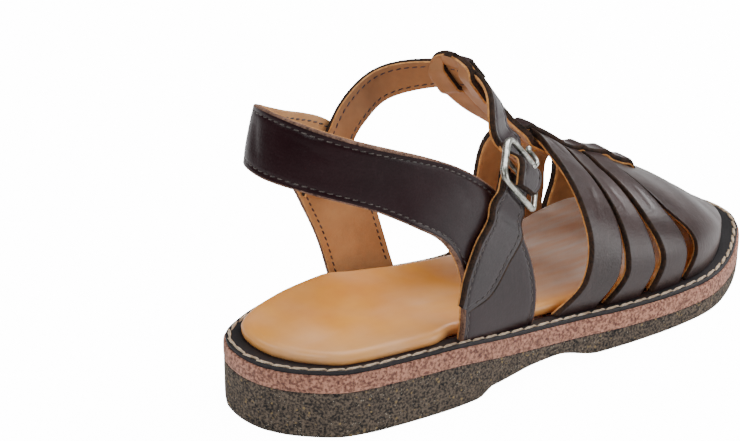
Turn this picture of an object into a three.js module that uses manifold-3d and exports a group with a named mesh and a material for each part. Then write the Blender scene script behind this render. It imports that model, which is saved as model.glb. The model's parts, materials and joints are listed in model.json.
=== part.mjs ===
// A child's right-foot leather sandal: woven T-bar upper on a stitched welted sole.
// Millimetres, +Y to the toe, +X to the outer (buckle) side, +Z up, floor at z = 0. The pieces are
// drawn from the heel's rear point, and the group is moved so that the sole is centred.
import * as THREE from 'three';
import { mergeVertices } from 'three/addons/utils/BufferGeometryUtils.js';
import Module from 'manifold-3d';

const wasm = await Module();
wasm.setup();

// Driving sizes of the sole
const SOLE_LENGTH = 200;
const BALL_WIDTH = 76.7;
const SEAT_HEIGHT = 21.2;
const BALL_HEIGHT = 11.5;
const ARCH_RISE = 4.2;
const TOE_SPRING = 2.6;
const MIDSOLE_THICKNESS = 5.8;
const RAND_THICKNESS = 1.2;
const RAND_SETBACK = 0.7;
const RAND_SEAM_ALLOWANCE = 1.8;
const INSOLE_THICKNESS = 5.0;
const INSOLE_EDGE_ROUND = 1.6;
const INSOLE_TOE_ROOM = 5.4;
const SOLE_BOTTOM_ROUND = 0.8;
const HEEL_FLANGE = 6.0;
const SIDE_FLANGE = 4.0;
const TOE_FLANGE = 8.6;

// Driving sizes of the last and the upper
const INSTEP_HEIGHT = 64;
const COLLAR_HEIGHT = 83;
const LEG_WIDTH = 49;
const SIDE_SWELL = 1.5;
const WIDEST_LEVEL = 10;
const WIDEST_SHARE = 0.34;
const LEG_BLEND = 10;
const LEATHER = 2.6;
const STRAP_LEATHER = 2.2;
const TBAR_WIDTH = 15;
const PADDLE_WIDTH = 22;
const BRIDGE_WIDTH = 6.5;
const WEAVE_RISE = 2.4;
const WEAVE_SINK = 1.0;
const ANKLE_STRAP_WIDTH = 11.5;

// Driving sizes of the buckle
const BUCKLE_WIDTH = 18.2;
const BUCKLE_DEPTH = 15.5;
const BUCKLE_WIRE = 1.9;
const BUCKLE_CORNERS = { near: 1.6, far: 4.4 };
const BUCKLE_LEVEL = 7.95;
const BUCKLE_TURN = -53;
const BUCKLE_TILT = 21;
const MIDDLE_BAR = 1.4;
const MIDDLE_BAR_ALONG = 7;
const PRONG_WIRE = 1.3;
const LOOP_LEATHER = 1.0;

// Clearance between pieces that touch
const CLEARANCE = 0.3;

const MESH_TOLERANCE = 0.05;

const COLOURS = {
  outsole: 0x443c36, midsole: 0xa3725f, rand: 0x2a2224, insole: 0xdeac6c,
  upper: 0x35292b, metal: 0xc4c2ba,
};

// Monotone cubic interpolation through named table rows
function profile(rows, at, value) {
  const xs = rows.map((row) => row[at]);
  const ys = rows.map((row) => row[value]);
  const last = xs.length - 1;
  const slopes = xs.slice(1).map((x, i) => (ys[i + 1] - ys[i]) / (x - xs[i]));
  const tangents = xs.map((_, i) => {
    if (i === 0 || i === last) return slopes[Math.min(i, last - 1)];
    const [before, after] = [slopes[i - 1], slopes[i]];
    return before * after <= 0 ? 0 : (2 * before * after) / (before + after);
  });
  return (x) => {
    const clamped = Math.min(Math.max(x, xs[0]), xs[last]);
    let i = 0;
    while (i < last - 1 && clamped > xs[i + 1]) i += 1;
    const h = xs[i + 1] - xs[i];
    const t = (clamped - xs[i]) / h;
    const cubic = t * t * (3 - 2 * t);
    const rise = h * t * (1 - t);
    return ys[i] + (ys[i + 1] - ys[i]) * cubic
      + rise * ((1 - t) * tangents[i] - t * tangents[i + 1]);
  };
}

const mix = (a, b, t) => a + (b - a) * t;
const smooth = (low, high, x) => THREE.MathUtils.smoothstep(x, low, high);

// Sole outline: shares of the length, and of the ball width to each side
const OUTLINE = [
  { along: 0.005, outer: 0.062, inner: 0.137 },
  { along: 0.012, outer: 0.108, inner: 0.181 },
  { along: 0.030, outer: 0.188, inner: 0.242 },
  { along: 0.080, outer: 0.315, inner: 0.304 },
  { along: 0.120, outer: 0.360, inner: 0.333 },
  { along: 0.160, outer: 0.386, inner: 0.354 },
  { along: 0.270, outer: 0.432, inner: 0.373 },
  { along: 0.380, outer: 0.436, inner: 0.349 },
  { along: 0.500, outer: 0.446, inner: 0.338 },
  { along: 0.620, outer: 0.494, inner: 0.404 },
  { along: 0.720, outer: 0.515, inner: 0.469 },
  { along: 0.800, outer: 0.499, inner: 0.483 },
  { along: 0.880, outer: 0.410, inner: 0.429 },
  { along: 0.950, outer: 0.274, inner: 0.288 },
  { along: 0.970, outer: 0.222, inner: 0.213 },
  { along: 0.985, outer: 0.170, inner: 0.140 },
  { along: 0.995, outer: 0.112, inner: 0.080 },
];
const HEEL_POINT = { along: 0, across: -0.037 };
const TOE_POINT = { along: 1, across: 0.016 };

// Height of the midsole's top, as a share of the drop from heel seat to ball
const TOP_LINE = [
  { along: 0, drop: 0 }, { along: 0.12, drop: 0 }, { along: 0.25, drop: 0.06 },
  { along: 0.38, drop: 0.46 }, { along: 0.50, drop: 0.76 }, { along: 0.62, drop: 0.91 },
  { along: 0.75, drop: 1 }, { along: 0.88, drop: 1.04 }, { along: 1, drop: 1.05 },
];
// Tread line: flat heel, slanted heel breast, low arch, flat ball, toe spring
const TREAD_LINE = [
  { along: 0, arch: 0, spring: 0 }, { along: 0.315, arch: 0, spring: 0 },
  { along: 0.345, arch: 0.62, spring: 0 }, { along: 0.43, arch: 1, spring: 0 },
  { along: 0.47, arch: 1, spring: 0 }, { along: 0.56, arch: 0, spring: 0 },
  { along: 0.80, arch: 0, spring: 0 }, { along: 0.90, arch: 0, spring: 0.35 },
  { along: 1, arch: 0, spring: 1 },
];
const FLANGE_LINE = [
  { along: 0, width: HEEL_FLANGE }, { along: 0.10, width: SIDE_FLANGE },
  { along: 0.50, width: SIDE_FLANGE }, { along: 0.85, width: mix(SIDE_FLANGE, TOE_FLANGE, 0.25) },
  { along: 1, width: TOE_FLANGE },
];

const dropAt = profile(TOP_LINE, 'along', 'drop');
const flangeAt = profile(FLANGE_LINE, 'along', 'width');
const topAt = (y) => mix(SEAT_HEIGHT, BALL_HEIGHT, dropAt(y / SOLE_LENGTH));
const seatAt = (y) => topAt(y) + RAND_THICKNESS + CLEARANCE;

function treadAt(y) {
  const along = THREE.MathUtils.clamp(y / SOLE_LENGTH, 0, 1);
  const i = Math.max(1, TREAD_LINE.findIndex((row) => row.along >= along));
  const [before, after] = [TREAD_LINE[i - 1], TREAD_LINE[i]];
  const t = (along - before.along) / (after.along - before.along);
  return mix(before.arch, after.arch, t) * ARCH_RISE
    + mix(before.spring, after.spring, t * t) * TOE_SPRING;
}

// Outline curve: heel point, outer side, toe point, inner side
const outlineCurve = (() => {
  const point = (across, along) =>
    new THREE.Vector3(across * BALL_WIDTH, along * SOLE_LENGTH, 0);
  const outer = OUTLINE.map((row) => point(row.outer, row.along));
  const inner = OUTLINE.map((row) => point(-row.inner, row.along)).reverse();
  const heel = point(HEEL_POINT.across, HEEL_POINT.along);
  const toe = point(TOE_POINT.across, TOE_POINT.along);
  return new THREE.CatmullRomCurve3([heel, ...outer, toe, ...inner], true, 'centripetal');
})();

const OUTLINE_SAMPLES = 480;
const STATIONS = 38;

// Both sides of the outline, set in by inset(y), as x at evenly eased stations along y
function sides(inset) {
  const points = [];
  for (let i = 0; i < OUTLINE_SAMPLES; i += 1) {
    const u = i / OUTLINE_SAMPLES;
    const point = outlineCurve.getPoint(u);
    const tangent = outlineCurve.getTangent(u);
    const width = inset(point.y);
    points.push({ x: point.x - tangent.y * width, y: point.y + tangent.x * width });
  }
  const heel = points.reduce((best, p, i) => (p.y < points[best].y ? i : best), 0);
  const toe = points.reduce((best, p, i) => (p.y > points[best].y ? i : best), 0);
  const walk = (step) => {
    const chain = [points[heel]];
    for (let i = heel; i !== toe;) {
      i = (i + step + OUTLINE_SAMPLES) % OUTLINE_SAMPLES;
      if (points[i].y > chain[chain.length - 1].y + 1e-4) chain.push(points[i]);
    }
    return chain;
  };
  const chainX = (chain, y) => {
    const k = Math.max(1, chain.findIndex((p) => p.y >= y - 1e-9));
    const [a, b] = [chain[k - 1], chain[k]];
    return mix(a.x, b.x, (y - a.y) / (b.y - a.y));
  };
  const [outer, inner] = [walk(1), walk(-1)];
  const [start, end] = [points[heel].y, points[toe].y];
  return {
    start,
    end,
    outerX: (y) => chainX(outer, THREE.MathUtils.clamp(y, start, end)),
    innerX: (y) => chainX(inner, THREE.MathUtils.clamp(y, start, end)),
  };
}

function meshData(positions, indices) {
  const geometry = new THREE.BufferGeometry();
  geometry.setAttribute('position', new THREE.Float32BufferAttribute(positions, 3));
  geometry.setIndex(indices);
  return geometry;
}

function toSolid(geometry) {
  const merged = mergeVertices(geometry, 1e-4);
  return new wasm.Manifold(new wasm.Mesh({
    numProp: 3,
    vertProperties: new Float32Array(merged.attributes.position.array),
    triVerts: new Uint32Array(merged.index.array),
  }));
}

// The main body of a joined or cut solid, without slivers left beside it or sealed in its walls
function mainBody(solid) {
  return solid.decompose().reduce((most, body) => (body.volume() > most.volume() ? body : most));
}

function toGeometry(solid) {
  const { vertProperties, triVerts } = solid.getMesh();
  return meshData(Array.from(vertProperties), Array.from(triVerts));
}

// Closed loft of sole rings, each ring set in from the outline and lifted to height(y)
function soleLoft(rings) {
  const positions = [];
  const indices = [];
  const count = 2 * STATIONS;
  rings.forEach(({ inset, height }) => {
    const edge = sides(inset);
    for (let i = 0; i < count; i += 1) {
      const onOuter = i <= STATIONS;
      const k = onOuter ? i : count - i;
      const y = mix(edge.start, edge.end, 0.5 - 0.5 * Math.cos((Math.PI * k) / STATIONS));
      positions.push(onOuter ? edge.outerX(y) : edge.innerX(y), y, height(y));
    }
  });
  rings.slice(1).forEach((_, ring) => {
    for (let i = 0; i < count; i += 1) {
      const [a, b] = [ring * count + i, ring * count + ((i + 1) % count)];
      indices.push(a, b, b + count, a, b + count, a + count);
    }
  });
  const cap = (base, up) => {
    const triangle = (a, b, c) => indices.push(base + a, base + (up ? b : c), base + (up ? c : b));
    triangle(0, 1, count - 1);
    for (let k = 1; k < STATIONS - 1; k += 1) {
      triangle(k, k + 1, count - k);
      triangle(k + 1, count - k - 1, count - k);
    }
    triangle(STATIONS - 1, STATIONS, STATIONS + 1);
  };
  cap(0, false);
  cap((rings.length - 1) * count, true);
  return meshData(positions, indices);
}

const evenly = (width) => () => width;

function outsoleSolid() {
  const top = (y) => topAt(y) - MIDSOLE_THICKNESS - CLEARANCE;
  return soleLoft([
    { inset: evenly(SOLE_BOTTOM_ROUND), height: treadAt },
    { inset: evenly(SOLE_BOTTOM_ROUND * 0.4), height: (y) => mix(treadAt(y), top(y), 0.07) },
    { inset: evenly(SOLE_BOTTOM_ROUND * 0.15), height: (y) => mix(treadAt(y), top(y), 0.22) },
    { inset: evenly(0), height: top },
  ]);
}

function midsoleSolid() {
  return soleLoft([
    { inset: evenly(0.1), height: (y) => topAt(y) - MIDSOLE_THICKNESS },
    { inset: evenly(0), height: (y) => topAt(y) - MIDSOLE_THICKNESS * 0.5 },
    { inset: evenly(0.1), height: (y) => topAt(y) - CLEARANCE },
  ]);
}

function randSolid() {
  const margin = (y) => flangeAt(y / SOLE_LENGTH) + RAND_SEAM_ALLOWANCE;
  const ring = soleLoft([
    { inset: evenly(RAND_SETBACK), height: topAt },
    { inset: evenly(RAND_SETBACK), height: (y) => topAt(y) + RAND_THICKNESS },
  ]);
  const hole = soleLoft([
    { inset: margin, height: (y) => topAt(y) - RAND_THICKNESS },
    { inset: margin, height: (y) => topAt(y) + 2 * RAND_THICKNESS },
  ]);
  return toGeometry(toSolid(ring).subtract(toSolid(hole)));
}

// The insole rests on the rand's inner margin, and is drawn in where the straps come down
const STRAP_ZONE = { start: 0.235, full: 0.29, toe: 0.78, toeFull: 0.93 };
function insoleSolid() {
  const strapRoom = (y) => (LEATHER + 2 * CLEARANCE)
    * smooth(STRAP_ZONE.start, STRAP_ZONE.full, y / SOLE_LENGTH)
    + INSOLE_TOE_ROOM * smooth(STRAP_ZONE.toe, STRAP_ZONE.toeFull, y / SOLE_LENGTH);
  const edge = (y) => flangeAt(y / SOLE_LENGTH) + strapRoom(y);
  const root = (y) => flangeAt(y / SOLE_LENGTH) + Math.max(strapRoom(y), RAND_SEAM_ALLOWANCE + CLEARANCE);
  const above = (height) => (y) => topAt(y) + height;
  const shoulder = INSOLE_THICKNESS - INSOLE_EDGE_ROUND;
  const inward = (share) => (y) => edge(y) + INSOLE_EDGE_ROUND * share;
  return soleLoft([
    { inset: root, height: above(0) },
    { inset: root, height: seatAt },
    { inset: edge, height: (y) => seatAt(y) + 0.02 },
    { inset: edge, height: above(shoulder) },
    { inset: inward(0.3), height: above(shoulder + INSOLE_EDGE_ROUND * 0.7) },
    { inset: inward(1.2), height: above(INSOLE_THICKNESS) },
  ]);
}

// The last: foot sections in shares of the length and instep height, and leg rings in shares of
// the collar height, length and leg width. level(p) is about the distance outside its surface.
const RIDGE_LINE = [
  { along: 0.22, height: 1.00 }, { along: 0.32, height: 1.00 }, { along: 0.40, height: 0.953 },
  { along: 0.48, height: 0.867 }, { along: 0.525, height: 0.805 }, { along: 0.59, height: 0.686 },
  { along: 0.645, height: 0.578 }, { along: 0.72, height: 0.482 }, { along: 0.76, height: 0.418 },
  { along: 0.80, height: 0.348 }, { along: 0.85, height: 0.270 }, { along: 0.90, height: 0.180 },
  { along: 0.94, height: 0.115 }, { along: 1, height: 0.080 },
];
const RIDGE_SWING = [
  { along: 0, across: 0 }, { along: 0.3, across: 0 }, { along: 0.5, across: -0.04 },
  { along: 0.7, across: -0.065 }, { along: 0.95, across: -0.065 },
];
const LEG_RINGS = [
  { up: 0.24, back: 0.045, front: 0.500, half: 0.510, across: 0 },
  { up: 0.48, back: 0.0325, front: 0.515, half: 0.510, across: 0 },
  { up: 0.72, back: 0.0325, front: 0.515, half: 0.500, across: -0.01 },
  { up: 0.88, back: 0.040, front: 0.485, half: 0.490, across: -0.01 },
  { up: 1.00, back: 0.0525, front: 0.450, half: 0.490, across: -0.02 },
  { up: 1.12, back: 0.070, front: 0.415, half: 0.490, across: -0.02 },
  { up: 1.25, back: 0.090, front: 0.390, half: 0.510, across: -0.02 },
  { up: 1.57, back: 0.110, front: 0.380, half: 0.550, across: -0.02 },
];
const ridgeAt = profile(RIDGE_LINE, 'along', 'height');
const swingAt = profile(RIDGE_SWING, 'along', 'across');
const legBack = profile(LEG_RINGS, 'up', 'back');
const legFront = profile(LEG_RINGS, 'up', 'front');
const legHalf = profile(LEG_RINGS, 'up', 'half');
const legAcross = profile(LEG_RINGS, 'up', 'across');

const FOOT_START = 0.23 * SOLE_LENGTH;
const FOOT_SQUARENESS = 2.3;
const TOE_SQUARENESS = 1.9;
const LEG_SQUARENESS = 2.2;
const UNDERCUT = 2.6;
const HEEL_CLOSE = 15;
const featherLine = sides((y) => flangeAt(y / SOLE_LENGTH) + LEATHER + CLEARANCE);
const TOE_HUB = featherLine.end - 0.11 * SOLE_LENGTH;
const TOE_BEARINGS = 24;
const TOE_BLEND = 0.75;

const middleAt = (y) => (featherLine.outerX(y) + featherLine.innerX(y)) / 2;

// Distance of the feather line from the toe hub, by its bearing from the outer side
const toeReach = (() => {
  const row = (x, y) => ({
    bearing: Math.atan2(y - TOE_HUB, x - middleAt(TOE_HUB)),
    reach: Math.hypot(y - TOE_HUB, x - middleAt(TOE_HUB)),
  });
  const outer = [];
  const inner = [];
  for (let i = 0; i < TOE_BEARINGS; i += 1) {
    const y = mix(TOE_HUB, featherLine.end, Math.sin((Math.PI * i) / (2 * TOE_BEARINGS)));
    outer.push(row(featherLine.outerX(y), y));
    inner.unshift(row(featherLine.innerX(y), y));
  }
  return profile([...outer, ...inner], 'bearing', 'reach');
})();

function footField(x, y, z) {
  const section = THREE.MathUtils.clamp(y, FOOT_START, TOE_HUB);
  const half = (featherLine.outerX(section) - featherLine.innerX(section)) / 2;
  const ridge = ridgeAt(THREE.MathUtils.clamp(y, FOOT_START, SOLE_LENGTH) / SOLE_LENGTH) * INSTEP_HEIGHT;
  const belly = Math.min(WIDEST_LEVEL, ridge * WIDEST_SHARE);
  const widest = topAt(y) + belly;
  const lift = z > widest ? (z - widest) / (ridge - belly) : (z - widest) / (belly * UNDERCUT);
  const lean = THREE.MathUtils.clamp(lift, 0, 1.3) ** 1.5;
  const centre = mix(middleAt(section), swingAt(section / SOLE_LENGTH) * BALL_WIDTH, lean);
  const ahead = Math.max(0, y - TOE_HUB);
  const aside = Math.abs(x - centre);
  const toeShare = smooth(TOE_BLEND, 1, y / SOLE_LENGTH);
  const swell = SIDE_SWELL * (1 - toeShare);
  const spread = ahead > 0
    ? Math.hypot(ahead, aside) / (toeReach(Math.atan2(ahead, x - centre)) + swell)
    : aside / (half + swell);
  const behind = Math.max(0, FOOT_START - y) / HEEL_CLOSE;
  const squareness = mix(FOOT_SQUARENESS, TOE_SQUARENESS, toeShare);
  return (spread ** squareness + Math.abs(lift) ** squareness + behind ** 2) ** (1 / squareness);
}

function legField(x, y, z) {
  const up = z / COLLAR_HEIGHT;
  const back = legBack(up) * SOLE_LENGTH;
  const front = legFront(up) * SOLE_LENGTH;
  const acrossShare = (x - legAcross(up) * LEG_WIDTH) / (legHalf(up) * LEG_WIDTH);
  const alongShare = (y - (back + front) / 2) / ((front - back) / 2);
  return (Math.abs(acrossShare) ** LEG_SQUARENESS + Math.abs(alongShare) ** LEG_SQUARENESS)
    ** (1 / LEG_SQUARENESS);
}

const PROBE = 0.05;
function gradient(field, x, y, z) {
  return new THREE.Vector3(
    field(x + PROBE, y, z) - field(x - PROBE, y, z),
    field(x, y + PROBE, z) - field(x, y - PROBE, z),
    field(x, y, z + PROBE) - field(x, y, z - PROBE),
  ).divideScalar(2 * PROBE);
}

function distanceOf(field, x, y, z) {
  return (field(x, y, z) - 1) / Math.max(gradient(field, x, y, z).length(), 1e-3);
}

function level(x, y, z) {
  const foot = distanceOf(footField, x, y, z);
  const leg = distanceOf(legField, x, y, z);
  const share = THREE.MathUtils.clamp(0.5 + (0.5 * (leg - foot)) / LEG_BLEND, 0, 1);
  return mix(leg, foot, share) - LEG_BLEND * share * (1 - share);
}

// Moves a guide point onto the surface that lies height outside the last
function settle(point, height) {
  const p = point.clone();
  for (let i = 0; i < 6; i += 1) {
    const away = gradient(level, p.x, p.y, p.z).normalize();
    p.addScaledVector(away, height - level(p.x, p.y, p.z));
  }
  return p;
}

const levelNormal = (p) => gradient(level, p.x, p.y, p.z).normalize();

// Point of the section at y, seen at an angle from the sole, height outside the last
const CAST_REACH = 90;
function cast(from, towards, height) {
  const way = towards.clone().normalize();
  let [near, far] = [0, CAST_REACH];
  for (let i = 0; i < 24; i += 1) {
    const r = (near + far) / 2;
    const p = from.clone().addScaledVector(way, r);
    if (level(p.x, p.y, p.z) < height) near = r;
    else far = r;
  }
  return from.clone().addScaledVector(way, near);
}

function hubAt(y) {
  const held = Math.min(y, TOE_HUB);
  return new THREE.Vector3(middleAt(held), held, seatAt(held));
}

const sectionPoint = (y, angle, height) =>
  cast(hubAt(y), new THREE.Vector3(Math.cos(angle), 0, Math.sin(angle)), height);

// Closed wall between an inner and an outer grid of points
function wallFromGrid(rows, columns, pointAt) {
  const positions = [];
  const indices = [];
  for (let side = 0; side < 2; side += 1) {
    for (let i = 0; i <= rows; i += 1) {
      for (let j = 0; j <= columns; j += 1) {
        positions.push(...pointAt(i / rows, j / columns, side).toArray());
      }
    }
  }
  const across = columns + 1;
  const layer = (rows + 1) * across;
  const quad = (a, b, c, d) => indices.push(a, b, c, a, c, d);
  for (let i = 0; i < rows; i += 1) {
    for (let j = 0; j < columns; j += 1) {
      const [a, b] = [i * across + j, (i + 1) * across + j];
      quad(a, a + 1, b + 1, b);
      quad(a + layer, b + layer, b + layer + 1, a + layer + 1);
    }
  }
  for (let i = 0; i < rows; i += 1) {
    const [a, b] = [i * across, (i + 1) * across];
    quad(a, b, b + layer, a + layer);
    quad(a + columns, a + columns + layer, b + columns + layer, b + columns);
  }
  for (let j = 0; j < columns; j += 1) {
    const end = rows * across;
    quad(j, j + layer, j + layer + 1, j + 1);
    quad(end + j, end + j + 1, end + j + 1 + layer, end + j + layer);
  }
  const geometry = meshData(positions, indices);
  const solid = toSolid(geometry);
  if (solid.volume() >= 0) return solid;
  for (let i = 0; i < indices.length; i += 3) {
    [indices[i + 1], indices[i + 2]] = [indices[i + 2], indices[i + 1]];
  }
  return toSolid(meshData(positions, indices));
}

// Strap edges across the vamp, in shares of the length: at the sole, low on the side,
// at the shoulder and on the ridge. front is the edge nearer the toe.
const VAMP_STRAPS = [
  {
    rear: { foot: 0.485, side: 0.540, shoulder: 0.560, ridge: 0.565 },
    front: { foot: 0.560, side: 0.603, shoulder: 0.620, ridge: 0.6225 },
  },
  {
    rear: { foot: 0.5825, side: 0.621, shoulder: 0.6275, ridge: 0.630 },
    front: { foot: 0.6475, side: 0.675, shoulder: 0.674, ridge: 0.6725 },
  },
  {
    rear: { foot: 0.6725, side: 0.694, shoulder: 0.684, ridge: 0.682 },
    front: { foot: 0.735, side: 0.746, shoulder: 0.732, ridge: 0.726 },
  },
];
const TOE_PIECE_REAR = { foot: 0.7525, side: 0.7775, shoulder: 0.747, ridge: 0.7365 };
const EDGE_ANGLES = { foot: 0, side: 20, shoulder: 46, ridge: 90 };
const FOOT_DIP = -8;

function edgeY(edge) {
  const rows = Object.entries(EDGE_ANGLES).map(([name, angle]) => ({ angle, y: edge[name] }));
  const curve = profile(rows, 'angle', 'y');
  return (angle) => curve(Math.min(Math.abs(angle), 180 - Math.abs(angle))) * SOLE_LENGTH;
}

// Height of a strap over the T-bar's margins and under its bridge, by distance from the ridge
function weaveLift(point) {
  const ridgeX = swingAt(point.y / SOLE_LENGTH) * BALL_WIDTH;
  const off = Math.abs(point.x - ridgeX);
  const half = TBAR_WIDTH / 2;
  return WEAVE_SINK * smooth(BRIDGE_WIDTH * 0.35, BRIDGE_WIDTH * 0.6, off)
    * (1 - smooth(half * 0.9, half * 1.9, off));
}

function vampStrap({ rear, front }) {
  const [rearY, frontY] = [edgeY(rear), edgeY(front)];
  const pointAt = (t, v, side) => {
    const angle = mix(FOOT_DIP, 180 - FOOT_DIP, t);
    const y = mix(rearY(angle), frontY(angle), v);
    const radians = THREE.MathUtils.degToRad(angle);
    const lift = weaveLift(sectionPoint(y, radians, 0));
    return sectionPoint(y, radians, lift + (side ? LEATHER : 0));
  };
  return wallFromGrid(30, 2, pointAt);
}

// The closed toe: from its rear edge over the toe down to the rand, all seen from the toe hub
function toePiece() {
  const rearY = edgeY(TOE_PIECE_REAR);
  const footY = TOE_PIECE_REAR.foot * SOLE_LENGTH;
  const hub = hubAt(SOLE_LENGTH);
  const bearing = (x) => Math.atan2(footY - hub.y, x - hub.x);
  const outerBearing = bearing(featherLine.outerX(footY));
  const innerBearing = bearing(featherLine.innerX(footY)) + 2 * Math.PI;
  const dip = Math.tan(THREE.MathUtils.degToRad(FOOT_DIP));
  const pointAt = (t, v, side) => {
    const angle = mix(FOOT_DIP, 180 - FOOT_DIP, t);
    const rear = sectionPoint(rearY(angle), THREE.MathUtils.degToRad(angle), 0);
    const turn = mix(outerBearing, innerBearing, t);
    const base = cast(hub, new THREE.Vector3(Math.cos(turn), Math.sin(turn), dip), 0);
    return cast(hub, rear.lerp(base, v).sub(hub), side ? LEATHER : 0);
  };
  return wallFromGrid(30, 9, pointAt);
}

// T-bar path on the ridge, in shares of the length and the collar height
const TBAR_PATH = [
  { along: 0.810, up: 0.40 }, { along: 0.770, up: 0.47 }, { along: 0.704, up: 0.56 },
  { along: 0.651, up: 0.64 }, { along: 0.593, up: 0.75 }, { along: 0.548, up: 0.82 },
  { along: 0.495, up: 0.88 }, { along: 0.450, up: 0.98 }, { along: 0.420, up: 1.07 },
  { along: 0.401, up: 1.145 },
];
const TBAR_CROSSINGS = [
  { along: 0.593, half: 0.034, rise: 1.12 }, { along: 0.651, half: 0.026, rise: 1.0 },
  { along: 0.704, half: 0.026, rise: 1.0 }, { along: 0.765, half: 0.040, rise: 0.95 },
];
const CROSSING_RAMP = 0.022;
const ANKLE_CROSSING = { up: 1.025, half: 0.076, ramp: 0.045, rise: 1.36, sink: 2.15 };
const TBAR_ACROSS = -0.055;

const tbarCurve = new THREE.CatmullRomCurve3(TBAR_PATH.map(({ along, up }) => new THREE.Vector3(
  TBAR_ACROSS * BALL_WIDTH, along * SOLE_LENGTH, up * COLLAR_HEIGHT,
)), false, 'centripetal');

const plateau = (offset, half, ramp) => 1 - smooth(half, half + ramp, Math.abs(offset));

// How far the bridge rises over a strap and the margins sink under it, as shares of their sizes
function crossingAt(point) {
  const along = point.y / SOLE_LENGTH;
  const up = point.z / COLLAR_HEIGHT;
  if (up > 0.9) {
    const share = plateau(up - ANKLE_CROSSING.up, ANKLE_CROSSING.half, ANKLE_CROSSING.ramp);
    return { rise: ANKLE_CROSSING.rise * share, sink: ANKLE_CROSSING.sink * share };
  }
  const rise = TBAR_CROSSINGS.reduce((most, row) =>
    Math.max(most, row.rise * plateau(along - row.along, row.half, CROSSING_RAMP)), 0);
  return { rise, sink: Math.min(rise, 1) };
}

function tbarHalfWidth(t) {
  const widening = mix(TBAR_WIDTH, PADDLE_WIDTH, smooth(0.62, 0.86, t)) / 2;
  const roundTop = Math.sqrt(Math.max(0, 1 - ((t - 0.93) / 0.07) ** 2));
  const roundEnd = Math.sqrt(Math.max(0, 1 - ((0.05 - t) / 0.06) ** 2));
  return widening * (t > 0.93 ? Math.max(roundTop, 0.3) : 1) * (t < 0.05 ? Math.max(roundEnd, 0.4) : 1);
}

// One lengthwise strip of the T-bar: the bridge rises over each strap, the margins sink under it
function tbarStrip(low, high, isBridge) {
  const pointAt = (t, v, side) => {
    const centre = settle(tbarCurve.getPointAt(t), 0);
    const tangent = tbarCurve.getTangentAt(t);
    const normal = levelNormal(centre);
    const across = new THREE.Vector3().crossVectors(tangent, normal).normalize();
    const half = tbarHalfWidth(t);
    const reach = THREE.MathUtils.clamp(mix(low, high, v), -half, half);
    const guide = centre.clone().addScaledVector(across, reach);
    const { rise, sink } = crossingAt(centre);
    const height = isBridge ? rise * WEAVE_RISE : -sink * WEAVE_SINK;
    return settle(guide, height + (side ? STRAP_LEATHER : 0));
  };
  return wallFromGrid(56, isBridge ? 2 : 1, pointAt);
}

// Closes the underside of everything that stands on the rand
function seatCutter() {
  return toSolid(soleLoft([
    { inset: evenly(-12), height: () => -20 },
    { inset: evenly(-12), height: (y) => seatAt(y) },
  ]));
}

function vampSolid() {
  const half = PADDLE_WIDTH / 2;
  const slit = BRIDGE_WIDTH / 2;
  const lap = 0.25;
  const pieces = [
    ...VAMP_STRAPS.map(vampStrap),
    toePiece(),
    tbarStrip(-slit, slit, true),
    tbarStrip(slit - lap, half, false),
    tbarStrip(-half, lap - slit, false),
  ];
  const whole = pieces.reduce((sum, piece) => sum.add(piece));
  return toGeometry(mainBody(mainBody(whole).subtract(seatCutter())).simplify(MESH_TOLERANCE));
}

// Strip laid between two edges. Each row holds its edges, its height outside the last, and how far
// it runs free of the last, straight along its own outward way.
function laidStrip({ rows, divisions, columns, wall, away }) {
  const last = rows.length - 1;
  const table = rows.map((row, i) => ({ at: i / last, height: row.height, free: row.free }));
  const [height, free] = [profile(table, 'at', 'height'), profile(table, 'at', 'free')];
  const [lowCurve, highCurve] = ['low', 'high'].map((edge) =>
    new THREE.CatmullRomCurve3(rows.map((row) => row[edge]), false, 'centripetal'));
  const pointAt = (t, v, side) => {
    const guide = lowCurve.getPoint(t).lerp(highCurve.getPoint(t), v);
    const base = settle(guide, height(t)).lerp(guide, free(t));
    const outward = levelNormal(base).lerp(away, free(t)).normalize();
    return base.addScaledVector(outward, side * wall);
  };
  return wallFromGrid(divisions, columns, pointAt);
}

// Edge rows in shares: across of the leg width, along of the length, up of the collar height
const guidePoint = ({ across, along, up }) =>
  new THREE.Vector3(across * LEG_WIDTH, along * SOLE_LENGTH, up * COLLAR_HEIGHT);

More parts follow.
